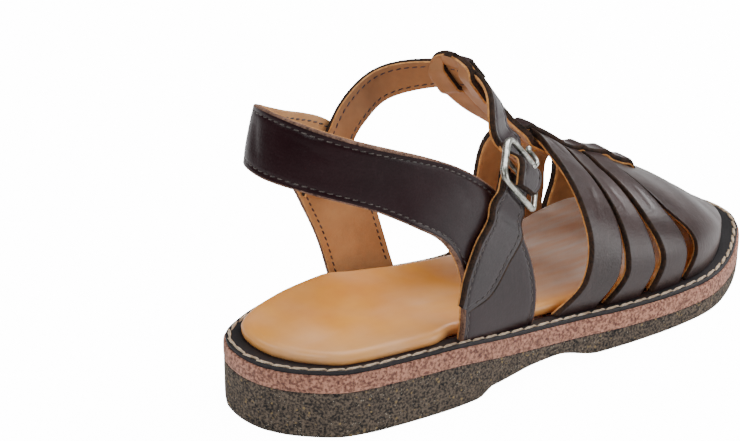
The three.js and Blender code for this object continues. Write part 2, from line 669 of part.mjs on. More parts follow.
// Heel strap in one piece with its two quarter legs: from the outer leg, round the heel, to the
// inner leg. low is the rear and lower edge, high the front and upper edge.
const HEEL_STRAP = [
  { low: { across: 0.64, along: 0.285, up: 0.18 }, high: { across: 0.62, along: 0.435, up: 0.14 } },
  { low: { across: 0.65, along: 0.288, up: 0.35 }, high: { across: 0.63, along: 0.440, up: 0.35 } },
  { low: { across: 0.63, along: 0.288, up: 0.52 }, high: { across: 0.60, along: 0.425, up: 0.53 } },
  { low: { across: 0.60, along: 0.262, up: 0.655 }, high: { across: 0.57, along: 0.380, up: 0.755 } },
  { low: { across: 0.56, along: 0.205, up: 0.76 }, high: { across: 0.54, along: 0.300, up: 0.915 } },
  { low: { across: 0.47, along: 0.135, up: 0.86 }, high: { across: 0.48, along: 0.190, up: 1.045 } },
  { low: { across: 0.26, along: 0.062, up: 0.935 }, high: { across: 0.28, along: 0.092, up: 1.145 } },
  { low: { across: 0.00, along: 0.030, up: 0.955 }, high: { across: 0.00, along: 0.060, up: 1.175 } },
  { low: { across: -0.26, along: 0.062, up: 0.93 }, high: { across: -0.28, along: 0.088, up: 1.135 } },
  { low: { across: -0.46, along: 0.130, up: 0.83 }, high: { across: -0.46, along: 0.170, up: 1.02 } },
  { low: { across: -0.53, along: 0.190, up: 0.70 }, high: { across: -0.52, along: 0.262, up: 0.91 } },
  { low: { across: -0.55, along: 0.225, up: 0.55 }, high: { across: -0.54, along: 0.325, up: 0.73 } },
  { low: { across: -0.56, along: 0.252, up: 0.40 }, high: { across: -0.54, along: 0.355, up: 0.50 } },
  { low: { across: -0.54, along: 0.275, up: 0.20 }, high: { across: -0.50, along: 0.393, up: 0.17 } },
];

const UPWARD = new THREE.Vector3(0, 0, 1);

function heelStrapSolid() {
  const rows = HEEL_STRAP.map(({ low, high }) => (
    { low: guidePoint(low), high: guidePoint(high), height: 0, free: 0 }));
  const strap = laidStrip({ rows, divisions: 60, columns: 3, wall: LEATHER, away: UPWARD });
  return toGeometry(strap.subtract(seatCutter()));
}

// The buckle's own frame: across along its bars, along from the near bar to the far one, out from
// the foot. The near bar lies on the seat point, turned from level and tilted to the last.
const BUCKLE_SEAT = { across: 0.649, along: 0.3905, up: 0.7718 };
const buckleFrame = (() => {
  const origin = settle(guidePoint(BUCKLE_SEAT), BUCKLE_LEVEL);
  const outward = levelNormal(origin);
  const across = new THREE.Vector3(-outward.y, outward.x, 0).normalize()
    .applyAxisAngle(outward, THREE.MathUtils.degToRad(BUCKLE_TURN));
  const along = new THREE.Vector3().crossVectors(outward, across)
    .applyAxisAngle(across, -THREE.MathUtils.degToRad(BUCKLE_TILT));
  const out = new THREE.Vector3().crossVectors(across, along);
  return { out, matrix: new THREE.Matrix4().makeBasis(across, along, out).setPosition(origin) };
})();
const inBuckle = (across, along, out) =>
  new THREE.Vector3(across, along, out).applyMatrix4(buckleFrame.matrix);

// Ankle strap, centre line: from inside the inner leg, over the instep, down to the buckle, then
// in the buckle's frame under its far bar, over the middle bar and up to the near bar
const ANKLE_STRAP = [
  { across: -0.49, along: 0.232, up: 0.625, height: -2.65 },
  { across: -0.50, along: 0.262, up: 0.795, height: -2.65 },
  { across: -0.49, along: 0.298, up: 0.925, height: -2.3 },
  { across: -0.44, along: 0.358, up: 1.000, height: 0.6 },
  { across: -0.27, along: 0.410, up: 1.018, height: 0.6 },
  { across: -0.05, along: 0.427, up: 1.020, height: 0.6 },
  { across: 0.17, along: 0.424, up: 1.015, height: 0.6 },
  { across: 0.33, along: 0.415, up: 0.985, height: 0.6 },
];
const ANKLE_STRAP_END = [
  { across: -2.6, along: 17.6, out: -3.9, width: 1 },
  { across: -2.3, along: 15.2, out: -3.9, width: 1 },
  { across: -1.9, along: 13.4, out: -3.3, width: 1 },
  { across: -1.5, along: 11.4, out: -0.9, width: 1 },
  { across: -1.0, along: 9.3, out: 1.9, width: 1 },
  { across: -0.5, along: 6.9, out: 2.5, width: 1 },
  { across: 0.3, along: 3.6, out: 1.9, width: 0.97 },
  { across: 0.8, along: 1.5, out: 1.0, width: 0.8 },
];
const PRONG_HOLE = { radius: 2.0, depth: 12, sides: 10 };

function ankleStrapSolid() {
  const laid = ANKLE_STRAP.map((row) => (
    { centre: settle(guidePoint(row), row.height), height: row.height, free: 0, width: 1 }));
  const end = ANKLE_STRAP_END.map(({ across, along, out, width }) => (
    { centre: inBuckle(across, along, out), height: out, free: 1, width }));
  const path = [...laid, ...end];
  const rows = path.map(({ centre, height, free, width }, i) => {
    const tangent = path[Math.min(i + 1, path.length - 1)].centre.clone()
      .sub(path[Math.max(i - 1, 0)].centre);
    const outward = free ? buckleFrame.out : levelNormal(centre);
    const reach = new THREE.Vector3().crossVectors(outward, tangent)
      .setLength((ANKLE_STRAP_WIDTH / 2) * width);
    return { low: centre.clone().sub(reach), high: centre.clone().add(reach), height, free };
  });
  const strap = laidStrip({
    rows, divisions: 60, columns: 2, wall: STRAP_LEATHER, away: buckleFrame.out,
  });
  const { radius, depth, sides } = PRONG_HOLE;
  const hole = new THREE.CylinderGeometry(radius, radius, depth, sides).rotateX(Math.PI / 2)
    .translate(0, MIDDLE_BAR_ALONG + PRONG_WIRE, 0).applyMatrix4(buckleFrame.matrix);
  return toGeometry(strap.subtract(toSolid(stripped(hole))));
}

// Buckle strap: over the outer leg from its free pointed end, under the buckle's near bar, and
// round the middle bar in a loop that leaves room for the prong
const BUCKLE_STRAP = [
  { low: { across: 0.66, along: 0.272, up: 0.42 }, high: { across: 0.66, along: 0.288, up: 0.39 } },
  { low: { across: 0.65, along: 0.283, up: 0.52 }, high: { across: 0.66, along: 0.330, up: 0.415 } },
  { low: { across: 0.62, along: 0.310, up: 0.63 }, high: { across: 0.64, along: 0.372, up: 0.51 } },
  { low: { across: 0.60, along: 0.340, up: 0.70 }, high: { across: 0.62, along: 0.405, up: 0.585 } },
];
const BUCKLE_STRAP_END = [
  { along: -1.5, out: -4.0, low: -5.6, high: 7.9 },
  { along: 1.5, out: -3.7, low: -5.7, high: 7.2 },
  { along: 6.0, out: -2.9, low: -5.8, high: 6.8 },
];
const LOOP = { low: -5.8, high: 6.8, sides: 16, spare: 2 };
const LOOP_SLOT = { width: 3.6, room: 3, depth: 9 };

function buckleStrapSolid() {
  const laid = BUCKLE_STRAP.map(({ low, high }) => (
    { low: guidePoint(low), high: guidePoint(high), height: LEATHER + 1.5 * CLEARANCE, free: 0 }));
  const end = BUCKLE_STRAP_END.map(({ along, out, low, high }) => (
    { low: inBuckle(low, along, out), high: inBuckle(high, along, out), height: 0, free: 1 }));
  const strap = laidStrip({
    rows: [...laid, ...end], divisions: 26, columns: 2, wall: STRAP_LEATHER, away: buckleFrame.out,
  });
  const inner = MIDDLE_BAR / 2 + CLEARANCE;
  const middle = (LOOP.low + LOOP.high) / 2;
  const tube = (radius, length, centre) => toSolid(stripped(
    new THREE.CylinderGeometry(radius, radius, length, LOOP.sides).rotateZ(-Math.PI / 2)
      .translate(centre, MIDDLE_BAR_ALONG, 0).applyMatrix4(buckleFrame.matrix)));
  const span = LOOP.high - LOOP.low;
  const slot = new THREE.BoxGeometry(LOOP_SLOT.width, 4 * inner + LOOP_SLOT.room, LOOP_SLOT.depth)
    .translate(0, MIDDLE_BAR_ALONG + inner, 0).applyMatrix4(buckleFrame.matrix);
  return toGeometry(mainBody(strap.add(tube(inner + LOOP_LEATHER, span, middle))
    .subtract(tube(inner, span + LOOP.spare, middle)).subtract(toSolid(stripped(slot)))));
}

function stripped(geometry) {
  const bare = geometry.clone();
  bare.deleteAttribute('normal');
  bare.deleteAttribute('uv');
  return bare;
}

// Rounded frame of bent wire with a straight middle bar
const BUCKLE_MESH = { rows: 48, ringSides: 7, barSides: 8 };

function buckleSolid() {
  const { rows, ringSides, barSides } = BUCKLE_MESH;
  const half = BUCKLE_WIDTH / 2;
  const path = new THREE.Path();
  const { near, far } = BUCKLE_CORNERS;
  path.moveTo(-half + near, 0);
  path.lineTo(half - near, 0);
  path.absarc(half - near, near, near, -Math.PI / 2, 0);
  path.lineTo(half, BUCKLE_DEPTH - far);
  path.absarc(half - far, BUCKLE_DEPTH - far, far, 0, Math.PI / 2);
  path.lineTo(-half + far, BUCKLE_DEPTH);
  path.absarc(-half + far, BUCKLE_DEPTH - far, far, Math.PI / 2, Math.PI);
  path.lineTo(-half, near);
  path.absarc(-half + near, near, near, Math.PI, 1.5 * Math.PI);
  const points = path.getSpacedPoints(rows).slice(0, -1)
    .map((p) => new THREE.Vector3(p.x, p.y, 0));
  const curve = new THREE.CatmullRomCurve3(points, true, 'centripetal');
  const ring = new THREE.TubeGeometry(curve, rows, BUCKLE_WIRE / 2, ringSides, true);
  const bar = new THREE.CylinderGeometry(MIDDLE_BAR / 2, MIDDLE_BAR / 2, BUCKLE_WIDTH, barSides)
    .rotateZ(-Math.PI / 2).translate(0, MIDDLE_BAR_ALONG, 0);
  const solids = [ring, bar].map((geometry) => toSolid(stripped(geometry)));
  return toGeometry(solids[0].add(solids[1])).applyMatrix4(buckleFrame.matrix);
}

// Prong: hooked round the middle bar, up through the strap's hole and over to the far bar
const PRONG_PATH = [
  { along: 7.3, out: -1.75 }, { along: 5.9, out: -1.35 }, { along: 5.25, out: 0 },
  { along: 5.75, out: 1.3 }, { along: 7.3, out: 2.1 }, { along: 8.3, out: 3.6 },
  { along: 9.3, out: 5.3 }, { along: 11.0, out: 5.1 }, { along: 13.6, out: 3.6 },
  { along: 15.5, out: 2.1 }, { along: 17.0, out: 1.9 },
];
const PRONG_MESH = { rows: 26, sides: 7 };

function prongSolid() {
  const { rows, sides } = PRONG_MESH;
  const curve = new THREE.CatmullRomCurve3(
    PRONG_PATH.map(({ along, out }) => new THREE.Vector3(0, along, out)), false, 'centripetal');
  const positions = [];
  const indices = [];
  const across = new THREE.Vector3(1, 0, 0);
  for (let i = 0; i <= rows; i += 1) {
    const t = i / rows;
    const centre = curve.getPointAt(t);
    const normal = new THREE.Vector3().crossVectors(across, curve.getTangentAt(t)).normalize();
    const radius = PRONG_WIRE / 2;
    for (let j = 0; j < sides; j += 1) {
      const turn = (2 * Math.PI * j) / sides;
      positions.push(...centre.clone().addScaledVector(across, radius * Math.cos(turn))
        .addScaledVector(normal, radius * Math.sin(turn)).toArray());
    }
  }
  for (let i = 0; i < rows; i += 1) {
    for (let j = 0; j < sides; j += 1) {
      const [a, b] = [i * sides + j, i * sides + ((j + 1) % sides)];
      indices.push(a, b, b + sides, a, b + sides, a + sides);
    }
  }
  for (let j = 1; j < sides - 1; j += 1) {
    const end = rows * sides;
    indices.push(0, j + 1, j, end, end + j, end + j + 1);
  }
  if (toSolid(meshData(positions, indices)).volume() < 0) {
    for (let i = 0; i < indices.length; i += 3) {
      [indices[i + 1], indices[i + 2]] = [indices[i + 2], indices[i + 1]];
    }
  }
  return meshData(positions, indices).applyMatrix4(buckleFrame.matrix);
}

const group = new THREE.Group();

function addPiece(name, geometry, colour, roughness, metalness = 0) {
  const material = new THREE.MeshStandardMaterial({ color: colour, roughness, metalness });
  const mesh = new THREE.Mesh(geometry, material);
  mesh.name = name;
  group.add(mesh);
}

addPiece('outsole', outsoleSolid(), COLOURS.outsole, 0.9);
addPiece('midsole', midsoleSolid(), COLOURS.midsole, 0.85);
addPiece('rand', randSolid(), COLOURS.rand, 0.5);
addPiece('insole', insoleSolid(), COLOURS.insole, 0.45);
addPiece('vamp_straps', vampSolid(), COLOURS.upper, 0.35);
addPiece('heel_strap', heelStrapSolid(), COLOURS.upper, 0.35);
addPiece('ankle_strap', ankleStrapSolid(), COLOURS.upper, 0.35);
addPiece('buckle_strap', buckleStrapSolid(), COLOURS.upper, 0.35);
addPiece('buckle_frame', buckleSolid(), COLOURS.metal, 0.3, 1);
addPiece('buckle_prong', prongSolid(), COLOURS.metal, 0.3, 1);

const footprint = new THREE.Box3().setFromPoints(outlineCurve.getPoints(OUTLINE_SAMPLES))
  .getCenter(new THREE.Vector3());
group.position.set(-footprint.x, -footprint.y, 0);

export default group;
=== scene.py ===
"""A child's right-foot sandal in dark leather: woven T-bar upper, buckled ankle strap, welted sole.

Lengths in the tables and methods are millimetres, drawn from the heel's rear point with +Y to the
toe, +X to the outer side and +Z up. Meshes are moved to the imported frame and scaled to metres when
they are made.
"""
from __future__ import annotations

import json
import logging
import math
from collections.abc import Callable, Sequence
from dataclasses import dataclass, field
from enum import Enum

import bmesh
import bpy
import numpy as np
from mathutils import Matrix, Vector

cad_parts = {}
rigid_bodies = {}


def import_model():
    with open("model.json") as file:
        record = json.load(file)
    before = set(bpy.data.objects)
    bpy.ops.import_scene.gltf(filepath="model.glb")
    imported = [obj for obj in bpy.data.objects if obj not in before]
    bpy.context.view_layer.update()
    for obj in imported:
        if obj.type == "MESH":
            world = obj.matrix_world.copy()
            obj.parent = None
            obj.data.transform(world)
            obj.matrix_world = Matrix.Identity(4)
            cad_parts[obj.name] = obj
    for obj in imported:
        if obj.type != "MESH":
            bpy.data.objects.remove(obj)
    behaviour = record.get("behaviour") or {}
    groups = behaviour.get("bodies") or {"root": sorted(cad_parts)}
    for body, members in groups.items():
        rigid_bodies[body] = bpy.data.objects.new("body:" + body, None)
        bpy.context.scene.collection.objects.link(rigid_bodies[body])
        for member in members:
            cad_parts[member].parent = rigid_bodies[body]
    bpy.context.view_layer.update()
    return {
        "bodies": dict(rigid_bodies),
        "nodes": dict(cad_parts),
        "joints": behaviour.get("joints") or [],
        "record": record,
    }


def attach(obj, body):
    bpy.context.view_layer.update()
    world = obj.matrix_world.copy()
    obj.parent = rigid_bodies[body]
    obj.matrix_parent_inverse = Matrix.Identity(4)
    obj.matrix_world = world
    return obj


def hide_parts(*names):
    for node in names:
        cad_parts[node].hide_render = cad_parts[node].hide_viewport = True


LOG = logging.getLogger("sandal")
MM = 0.001
UV_LAYER = "place"

Array = np.ndarray
Colour = tuple[float, float, float]
Along = Callable[[Array], Array]
Material = bpy.types.Material
Socket = bpy.types.NodeSocket


# Numbers and curves


def mix(a: Array | float, b: Array | float, t: Array | float) -> Array | float:
    """Returns the value a share t of the way from a to b."""
    return a + (b - a) * t


def smooth(low: float, high: float, x: Array | float) -> Array | float:
    """Returns 0 below low, 1 above high and an eased value between."""
    t = np.clip((x - low) / (high - low), 0.0, 1.0)
    return t * t * (3 - 2 * t)


def unit(v: Array) -> Array:
    """Returns the vectors of v at length 1."""
    return v / np.maximum(np.linalg.norm(v, axis=-1, keepdims=True), 1e-9)


def hump(x: Array, centre: float, width: float) -> Array:
    """Returns a soft bell of height 1 round centre."""
    return np.exp(-(((x - centre) / width) ** 2))


def eased_steps(count: int) -> Array:
    """Returns count + 1 shares from 0 to 1 that lie closer together near both ends."""
    return 0.5 - 0.5 * np.cos(np.pi * np.arange(count + 1) / count)


def running_length(points: Array) -> Array:
    """Returns each point's distance from the first, along the line."""
    return np.concatenate([[0.0], np.cumsum(np.linalg.norm(np.diff(points, axis=0), axis=1))])


def ring_faces(number: Array) -> list[tuple[int, ...]]:
    """Returns the faces between rows of vertex numbers that each close on themselves."""
    after = np.roll(number, -1, axis=1)
    quads = np.stack([number[:-1], after[:-1], after[1:], number[1:]], -1)
    return [tuple(quad) for quad in quads.reshape(-1, 4).tolist()]


class Profile:
    """Monotone cubic through the rows of a table."""

    def __init__(self, *rows: tuple[float, float]) -> None:
        """Works out the slope at each row.

        Args:
            rows: pairs of place and value, in order of place.
        """
        self.xs = np.array([row[0] for row in rows], float)
        self.ys = np.array([row[1] for row in rows], float)
        slope = np.diff(self.ys) / np.diff(self.xs)
        before, after = slope[:-1], slope[1:]
        same = before * after > 0
        inner = np.where(same, 2 * before * after / np.where(same, before + after, 1.0), 0.0)
        self.tangents = np.concatenate([slope[:1], inner, slope[-1:]])

    def __call__(self, x: Array | float) -> Array:
        """Returns the curve's values at x, held at the ends."""
        x = np.clip(x, self.xs[0], self.xs[-1])
        i = np.clip(np.searchsorted(self.xs, x, side="left") - 1, 0, len(self.xs) - 2)
        h = self.xs[i + 1] - self.xs[i]
        t = (x - self.xs[i]) / h
        rise = h * t * (1 - t)
        return (self.ys[i] + (self.ys[i + 1] - self.ys[i]) * t * t * (3 - 2 * t)
                + rise * ((1 - t) * self.tangents[i] - t * self.tangents[i + 1]))


class Curve:
    """Centripetal Catmull-Rom curve, open or closed."""

    samples = 401
    nudge = 1e-3

    def __init__(self, points: Sequence[Sequence[float]] | Array, closed: bool = False) -> None:
        """Measures the curve.

        Args:
            points: the points that the curve passes through.
            closed: whether it runs back to its first point.
        """
        self.points = np.asarray(points, float)
        self.closed = closed
        self.lengths = running_length(self.at(np.linspace(0, 1, self.samples)))

    def at(self, u: Array) -> Array:
        """Returns the points at the parameters u, 0 to 1."""
        p = self.points
        count = len(p)
        spans = count if self.closed else count - 1
        place = np.clip(u, 0, 1) * spans
        i = np.minimum(np.floor(place).astype(int), spans - 1)
        w = (place - i)[..., None]
        if self.closed:
            a, b, c, d = (p[(i + k) % count] for k in (-1, 0, 1, 2))
        else:
            wide = np.vstack([2 * p[0] - p[1], p, 2 * p[-1] - p[-2]])
            a, b, c, d = (wide[i + k] for k in (0, 1, 2, 3))
        gap0, gap1, gap2 = (np.maximum(np.sum((m - n) ** 2, -1, keepdims=True) ** 0.25, 1e-4)
                            for m, n in ((a, b), (b, c), (c, d)))
        t1 = ((b - a) / gap0 - (c - a) / (gap0 + gap1) + (c - b) / gap1) * gap1
        t2 = ((c - b) / gap1 - (d - b) / (gap1 + gap2) + (d - c) / gap2) * gap1
        return b + w * (t1 + w * ((-3 * b + 3 * c - 2 * t1 - t2) + w * (2 * b - 2 * c + t1 + t2)))

    def along(self, share: Array) -> Array:
        """Returns the points at shares of the curve's length."""
        return self.at(self.parameter(share))

    def parameter(self, share: Array) -> Array:
        """Returns the parameters at shares of the curve's length."""
        return np.interp(share, self.lengths / self.lengths[-1], np.linspace(0, 1, self.samples))

    def tangent(self, u: Array) -> Array:
        """Returns the unit directions of travel at the parameters u."""
        low, high = np.clip(u - self.nudge, 0, 1), np.clip(u + self.nudge, 0, 1)
        return unit(self.at(high) - self.at(low))


# Sole and last


@dataclass(frozen=True)
class SolePlan:
    """Outline and heights of the sole."""

    length: float = 200.0
    ball_width: float = 76.7
    seat_height: float = 21.2
    ball_height: float = 11.5
    arch_rise: float = 4.2
    toe_spring: float = 2.6
    rand_thickness: float = 1.2
    clearance: float = 0.3
    outline_rows: tuple[tuple[float, float, float], ...] = (
        (0.005, 0.062, 0.137), (0.012, 0.108, 0.181), (0.030, 0.188, 0.242),
        (0.080, 0.315, 0.304), (0.120, 0.360, 0.333), (0.160, 0.386, 0.354),
        (0.270, 0.432, 0.373), (0.380, 0.436, 0.349), (0.500, 0.446, 0.338),
        (0.620, 0.494, 0.404), (0.720, 0.515, 0.469), (0.800, 0.499, 0.483),
        (0.880, 0.410, 0.429), (0.950, 0.274, 0.288), (0.970, 0.222, 0.213),
        (0.985, 0.170, 0.140), (0.995, 0.112, 0.080))
    heel_point: tuple[float, float] = (-0.037, 0.0)
    toe_point: tuple[float, float] = (0.016, 1.0)
    drop: Profile = field(default_factory=lambda: Profile(
        (0, 0), (0.12, 0), (0.25, 0.06), (0.38, 0.46), (0.50, 0.76), (0.62, 0.91), (0.75, 1),
        (0.88, 1.04), (1, 1.05)))
    flange_line: Profile = field(default_factory=lambda: Profile(
        (0, 6.0), (0.10, 4.0), (0.50, 4.0), (0.85, 5.15), (1, 8.6)))
    tread_rows: tuple[tuple[float, float, float], ...] = (
        (0, 0, 0), (0.315, 0, 0), (0.345, 0.62, 0), (0.43, 1, 0), (0.47, 1, 0), (0.56, 0, 0),
        (0.80, 0, 0), (0.90, 0, 0.35), (1, 0, 1))

    def outline(self) -> Curve:
        """Returns the closed outline: heel point, outer side, toe point, inner side."""
        outer = [(o, a) for a, o, _ in self.outline_rows]
        inner = [(-i, a) for a, _, i in reversed(self.outline_rows)]
        rows = [self.heel_point, *outer, self.toe_point, *inner]
        return Curve([(x * self.ball_width, y * self.length) for x, y in rows], closed=True)

    def top(self, y: Array) -> Array:
        """Returns the height of the midsole's top at y."""
        return mix(self.seat_height, self.ball_height, self.drop(y / self.length))

    def seat(self, y: Array) -> Array:
        """Returns the height at which the straps come down on the rand."""
        return self.top(y) + self.rand_thickness + self.clearance

    def flange(self, y: Array) -> Array:
        """Returns how far the upper stands in from the outline at y."""
        return self.flange_line(y / self.length)

    def tread(self, y: Array) -> Array:
        """Returns the height of the sole's underside at y."""
        along = np.clip(y / self.length, 0, 1)
        rows = np.array(self.tread_rows)
        i = np.clip(np.searchsorted(rows[:, 0], along), 1, len(rows) - 1)
        t = (along - rows[i - 1, 0]) / (rows[i, 0] - rows[i - 1, 0])
        arch = mix(rows[i - 1, 1], rows[i, 1], smooth(0, 1, t))
        spring = mix(rows[i - 1, 2], rows[i, 2], t * t)
        return arch * self.arch_rise + spring * self.toe_spring


class Sides:
    """Both sides of the outline, set in by a width that may change along the sole."""

    samples = 1600
    nudge = 1e-4

    def __init__(self, plan: SolePlan, inset: Along | float) -> None:
        """Works out the edge and splits it at the heel and the toe.

        Args:
            plan: the sole's outline and heights.
            inset: a width, or a function of y that gives it.
        """
        outline = plan.outline()
        u = np.arange(self.samples) / self.samples
        point = outline.at(u)
        way = unit(outline.at((u + self.nudge) % 1) - outline.at((u - self.nudge) % 1))
        width = inset(point[:, 1]) if callable(inset) else np.full(len(u), inset)
        edge = np.stack([point[:, 0] - way[:, 1] * width, point[:, 1] + way[:, 0] * width], 1)
        heel, toe = int(edge[:, 1].argmin()), int(edge[:, 1].argmax())
        self.start, self.end = float(edge[heel, 1]), float(edge[toe, 1])
        self.outer_chain = self._walk(edge, heel, toe, 1)
        self.inner_chain = self._walk(edge, heel, toe, -1)

    @classmethod
    def _walk(cls, edge: Array, heel: int, toe: int, step: int) -> Array:
        """Returns the points from the heel to the toe that keep gaining length."""
        chain, i = [edge[heel]], heel
        while i != toe:
            i = (i + step) % len(edge)
            if edge[i, 1] > chain[-1][1] + cls.nudge:
                chain.append(edge[i])
        return np.array(chain)

    def outer(self, y: Array) -> Array:
        """Returns the outer side's x at y."""
        return np.interp(y, self.outer_chain[:, 1], self.outer_chain[:, 0])

    def inner(self, y: Array) -> Array:
        """Returns the inner side's x at y."""
        return np.interp(y, self.inner_chain[:, 1], self.inner_chain[:, 0])

    def middle(self, y: Array) -> Array:
        """Returns the x half way between the sides."""
        return (self.outer(y) + self.inner(y)) / 2

    def ring(self, y: Array, z: Array) -> Array:
        """Returns the ring of points at y and z: along the outer side, back along the inner."""
        outer = np.stack([self.outer(y), y, z], 1)
        inner = np.stack([self.inner(y), y, z], 1)[1:-1][::-1]
        return np.concatenate([outer, inner])


@dataclass
class Last:
    """The foot form that the straps lie on: a foot and a leg, blended.

    The distance of a place outside its surface is called its level. It is worked out once on a
    grid and read from there.
    """

    plan: SolePlan
    instep_height: float = 64.0
    collar_height: float = 83.0
    leg_width: float = 49.0
    side_swell: float = 1.5
    widest_level: float = 10.0
    widest_share: float = 0.34
    leather: float = 2.6
    tuck: float = 0.9
    leg_blend: float = 10.0
    foot_start: float = 46.0
    heel_depth: float = 15.0
    toe_share: float = 0.11
    belly_depth: float = 2.6
    side_power: float = 2.3
    toe_power: float = 1.9
    leg_power: float = 2.2
    lean_power: float = 1.5
    step: float = 0.05
    farthest: float = 90.0
    cell: float = 1.5
    grid_start: tuple[float, float, float] = (-48.0, -8.0, 3.0)
    grid_counts: tuple[int, int, int] = (66, 144, 74)
    ridge: Profile = field(default_factory=lambda: Profile(
        (0.22, 1.0), (0.32, 1.0), (0.40, 0.953), (0.48, 0.867), (0.525, 0.805), (0.59, 0.686),
        (0.645, 0.578), (0.72, 0.482), (0.76, 0.418), (0.80, 0.348), (0.85, 0.270), (0.90, 0.180),
        (0.94, 0.115), (1, 0.080)))
    swing: Profile = field(default_factory=lambda: Profile(
        (0, 0), (0.3, 0), (0.5, -0.04), (0.7, -0.065), (0.95, -0.065)))
    leg_rows: tuple[tuple[float, float, float, float, float], ...] = (
        (0.24, 0.045, 0.500, 0.510, 0), (0.48, 0.0325, 0.515, 0.510, 0),
        (0.72, 0.0325, 0.515, 0.500, -0.01), (0.88, 0.040, 0.485, 0.490, -0.01),
        (1.00, 0.0525, 0.450, 0.490, -0.02), (1.12, 0.070, 0.415, 0.490, -0.02),
        (1.25, 0.090, 0.390, 0.510, -0.02), (1.57, 0.110, 0.380, 0.550, -0.02))

    def __post_init__(self) -> None:
        """Works out the feather line, the toe and the grid of levels."""
        plan = self.plan
        self.feather = Sides(plan, lambda y: plan.flange(y) + self.leather + plan.clearance)
        self.toe_hub = self.feather.end - self.toe_share * plan.length
        self.leg = [Profile(*[(row[0], row[k]) for row in self.leg_rows]) for k in (1, 2, 3, 4)]
        self.toe_reach = self._toe_outline()
        axes = [start + self.cell * np.arange(count)
                for start, count in zip(self.grid_start, self.grid_counts)]
        grid = np.stack(np.meshgrid(*axes, indexing="ij"), -1)
        value = self._exact(grid)
        slopes = np.stack(np.gradient(value, self.cell), -1)
        self.table = np.concatenate([value[..., None], unit(slopes)], -1)

    @property
    def scale(self) -> Array:
        """Returns the lengths that the straps' shares are of: across, along and up."""
        return np.array([self.leg_width, self.plan.length, self.collar_height])

    def _toe_outline(self) -> Profile:
        """Returns how far the feather line is from the toe's centre, by bearing."""
        quarter = 24
        y = mix(self.toe_hub, self.feather.end, np.sin(np.pi * np.arange(quarter) / (2 * quarter)))
        middle = self.feather.middle(self.toe_hub)
        sides = [*zip(self.feather.outer(y), y), *zip(self.feather.inner(y)[::-1], y[::-1])]
        return Profile(*sorted((math.atan2(b - self.toe_hub, a - middle),
                                math.hypot(b - self.toe_hub, a - middle)) for a, b in sides))

    def _foot(self, p: Array) -> Array:
        """Returns the foot's field: 1 on its surface."""
        plan = self.plan
        x, y, z = p[..., 0], p[..., 1], p[..., 2]
        section = np.clip(y, self.foot_start, self.toe_hub)
        half = (self.feather.outer(section) - self.feather.inner(section)) / 2
        held = np.clip(y, self.foot_start, plan.length)
        ridge = self.ridge(held / plan.length) * self.instep_height
        belly = np.minimum(self.widest_level, ridge * self.widest_share)
        widest = plan.top(y) + belly
        lift = (z - widest) / np.where(z > widest, ridge - belly, belly * self.belly_depth)
        lean = np.clip(lift, 0, 1.3) ** self.lean_power
        centre = mix(self.feather.middle(section),
                     self.swing(section / plan.length) * plan.ball_width, lean)
        ahead = np.maximum(0, y - self.toe_hub)
        aside = np.abs(x - centre)
        toe = smooth(0.75, 1, y / plan.length)
        swell = self.side_swell * (1 - toe)
        round_toe = np.hypot(ahead, aside) / (self.toe_reach(np.arctan2(ahead, x - centre)) + swell)
        spread = np.where(ahead > 0, round_toe, aside / (half + swell))
        behind = np.maximum(0, self.foot_start - y) / self.heel_depth
        power = mix(self.side_power, self.toe_power, toe)
        return (spread ** power + np.abs(lift) ** power + behind ** 2) ** (1 / power)

    def _leg(self, p: Array) -> Array:
        """Returns the leg's field: 1 on its surface."""
        up = p[..., 2] / self.collar_height
        back, front = self.leg[0](up) * self.plan.length, self.leg[1](up) * self.plan.length
        across = (p[..., 0] - self.leg[3](up) * self.leg_width) / (self.leg[2](up) * self.leg_width)
        along = (p[..., 1] - (back + front) / 2) / ((front - back) / 2)
        power = self.leg_power
        return (np.abs(across) ** power + np.abs(along) ** power) ** (1 / power)

    def _exact(self, p: Array) -> Array:
        """Returns the level of the points, worked out from the two fields."""
        def distance(shape: Along) -> Array:
            slopes = [(shape(p + e) - shape(p - e)) / (2 * self.step) for e in np.eye(3) * self.step]
            return (shape(p) - 1) / np.maximum(np.sqrt(sum(s * s for s in slopes)), 1e-3)

        foot, leg = distance(self._foot), distance(self._leg)
        share = np.clip(0.5 + 0.5 * (leg - foot) / self.leg_blend, 0, 1)
        return mix(leg, foot, share) - self.leg_blend * share * (1 - share)

    def _read(self, p: Array) -> Array:
        """Returns level and slope at the points, from the grid."""
        place = (p - np.array(self.grid_start)) / self.cell
        top = np.array(self.table.shape[:3]) - 2
        i = np.clip(np.floor(place).astype(int), 0, top)
        w = place - i
        out = 0.0
        for corner in np.ndindex(2, 2, 2):
            c = np.array(corner)
            weight = np.prod(np.where(c == 1, w, 1 - w), axis=-1)
            k = i + c
            out = out + weight[..., None] * self.table[k[..., 0], k[..., 1], k[..., 2]]
        return out

    def level(self, p: Array) -> Array:
        """Returns the distance of the points outside the surface."""
        return self._read(p)[..., 0]

    def normal(self, p: Array) -> Array:
        """Returns the outward directions at the points."""
        return unit(self._read(p)[..., 1:])

    def settle(self, p: Array, height: Array | float) -> Array:
        """Returns the points moved to the surface that lies height outside the last."""
        p = np.array(p, float)
        for _ in range(6):
            got = self._read(p)
            p = p + unit(got[..., 1:]) * (height - got[..., :1].squeeze(-1))[..., None]
        return p

    def cast(self, start: Array, way: Array, height: Array | float) -> Array:
        """Returns where rays from inside the last reach the surface at height."""
        way = unit(way)
        near = np.zeros(way.shape[:-1])
        far = near + self.farthest
        for _ in range(22):
            r = (near + far) / 2
            inside = self.level(start + way * r[..., None]) < height
            near, far = np.where(inside, r, near), np.where(inside, far, r)
        return start + way * near[..., None]

    def grounded(self, points: Array) -> Array:
        """Returns the points held just above the midsole, where straps go under the insole."""
        floor = self.plan.seat(points[:, 1]) - self.tuck
        return np.stack([points[:, 0], points[:, 1], np.maximum(points[:, 2], floor)], 1)

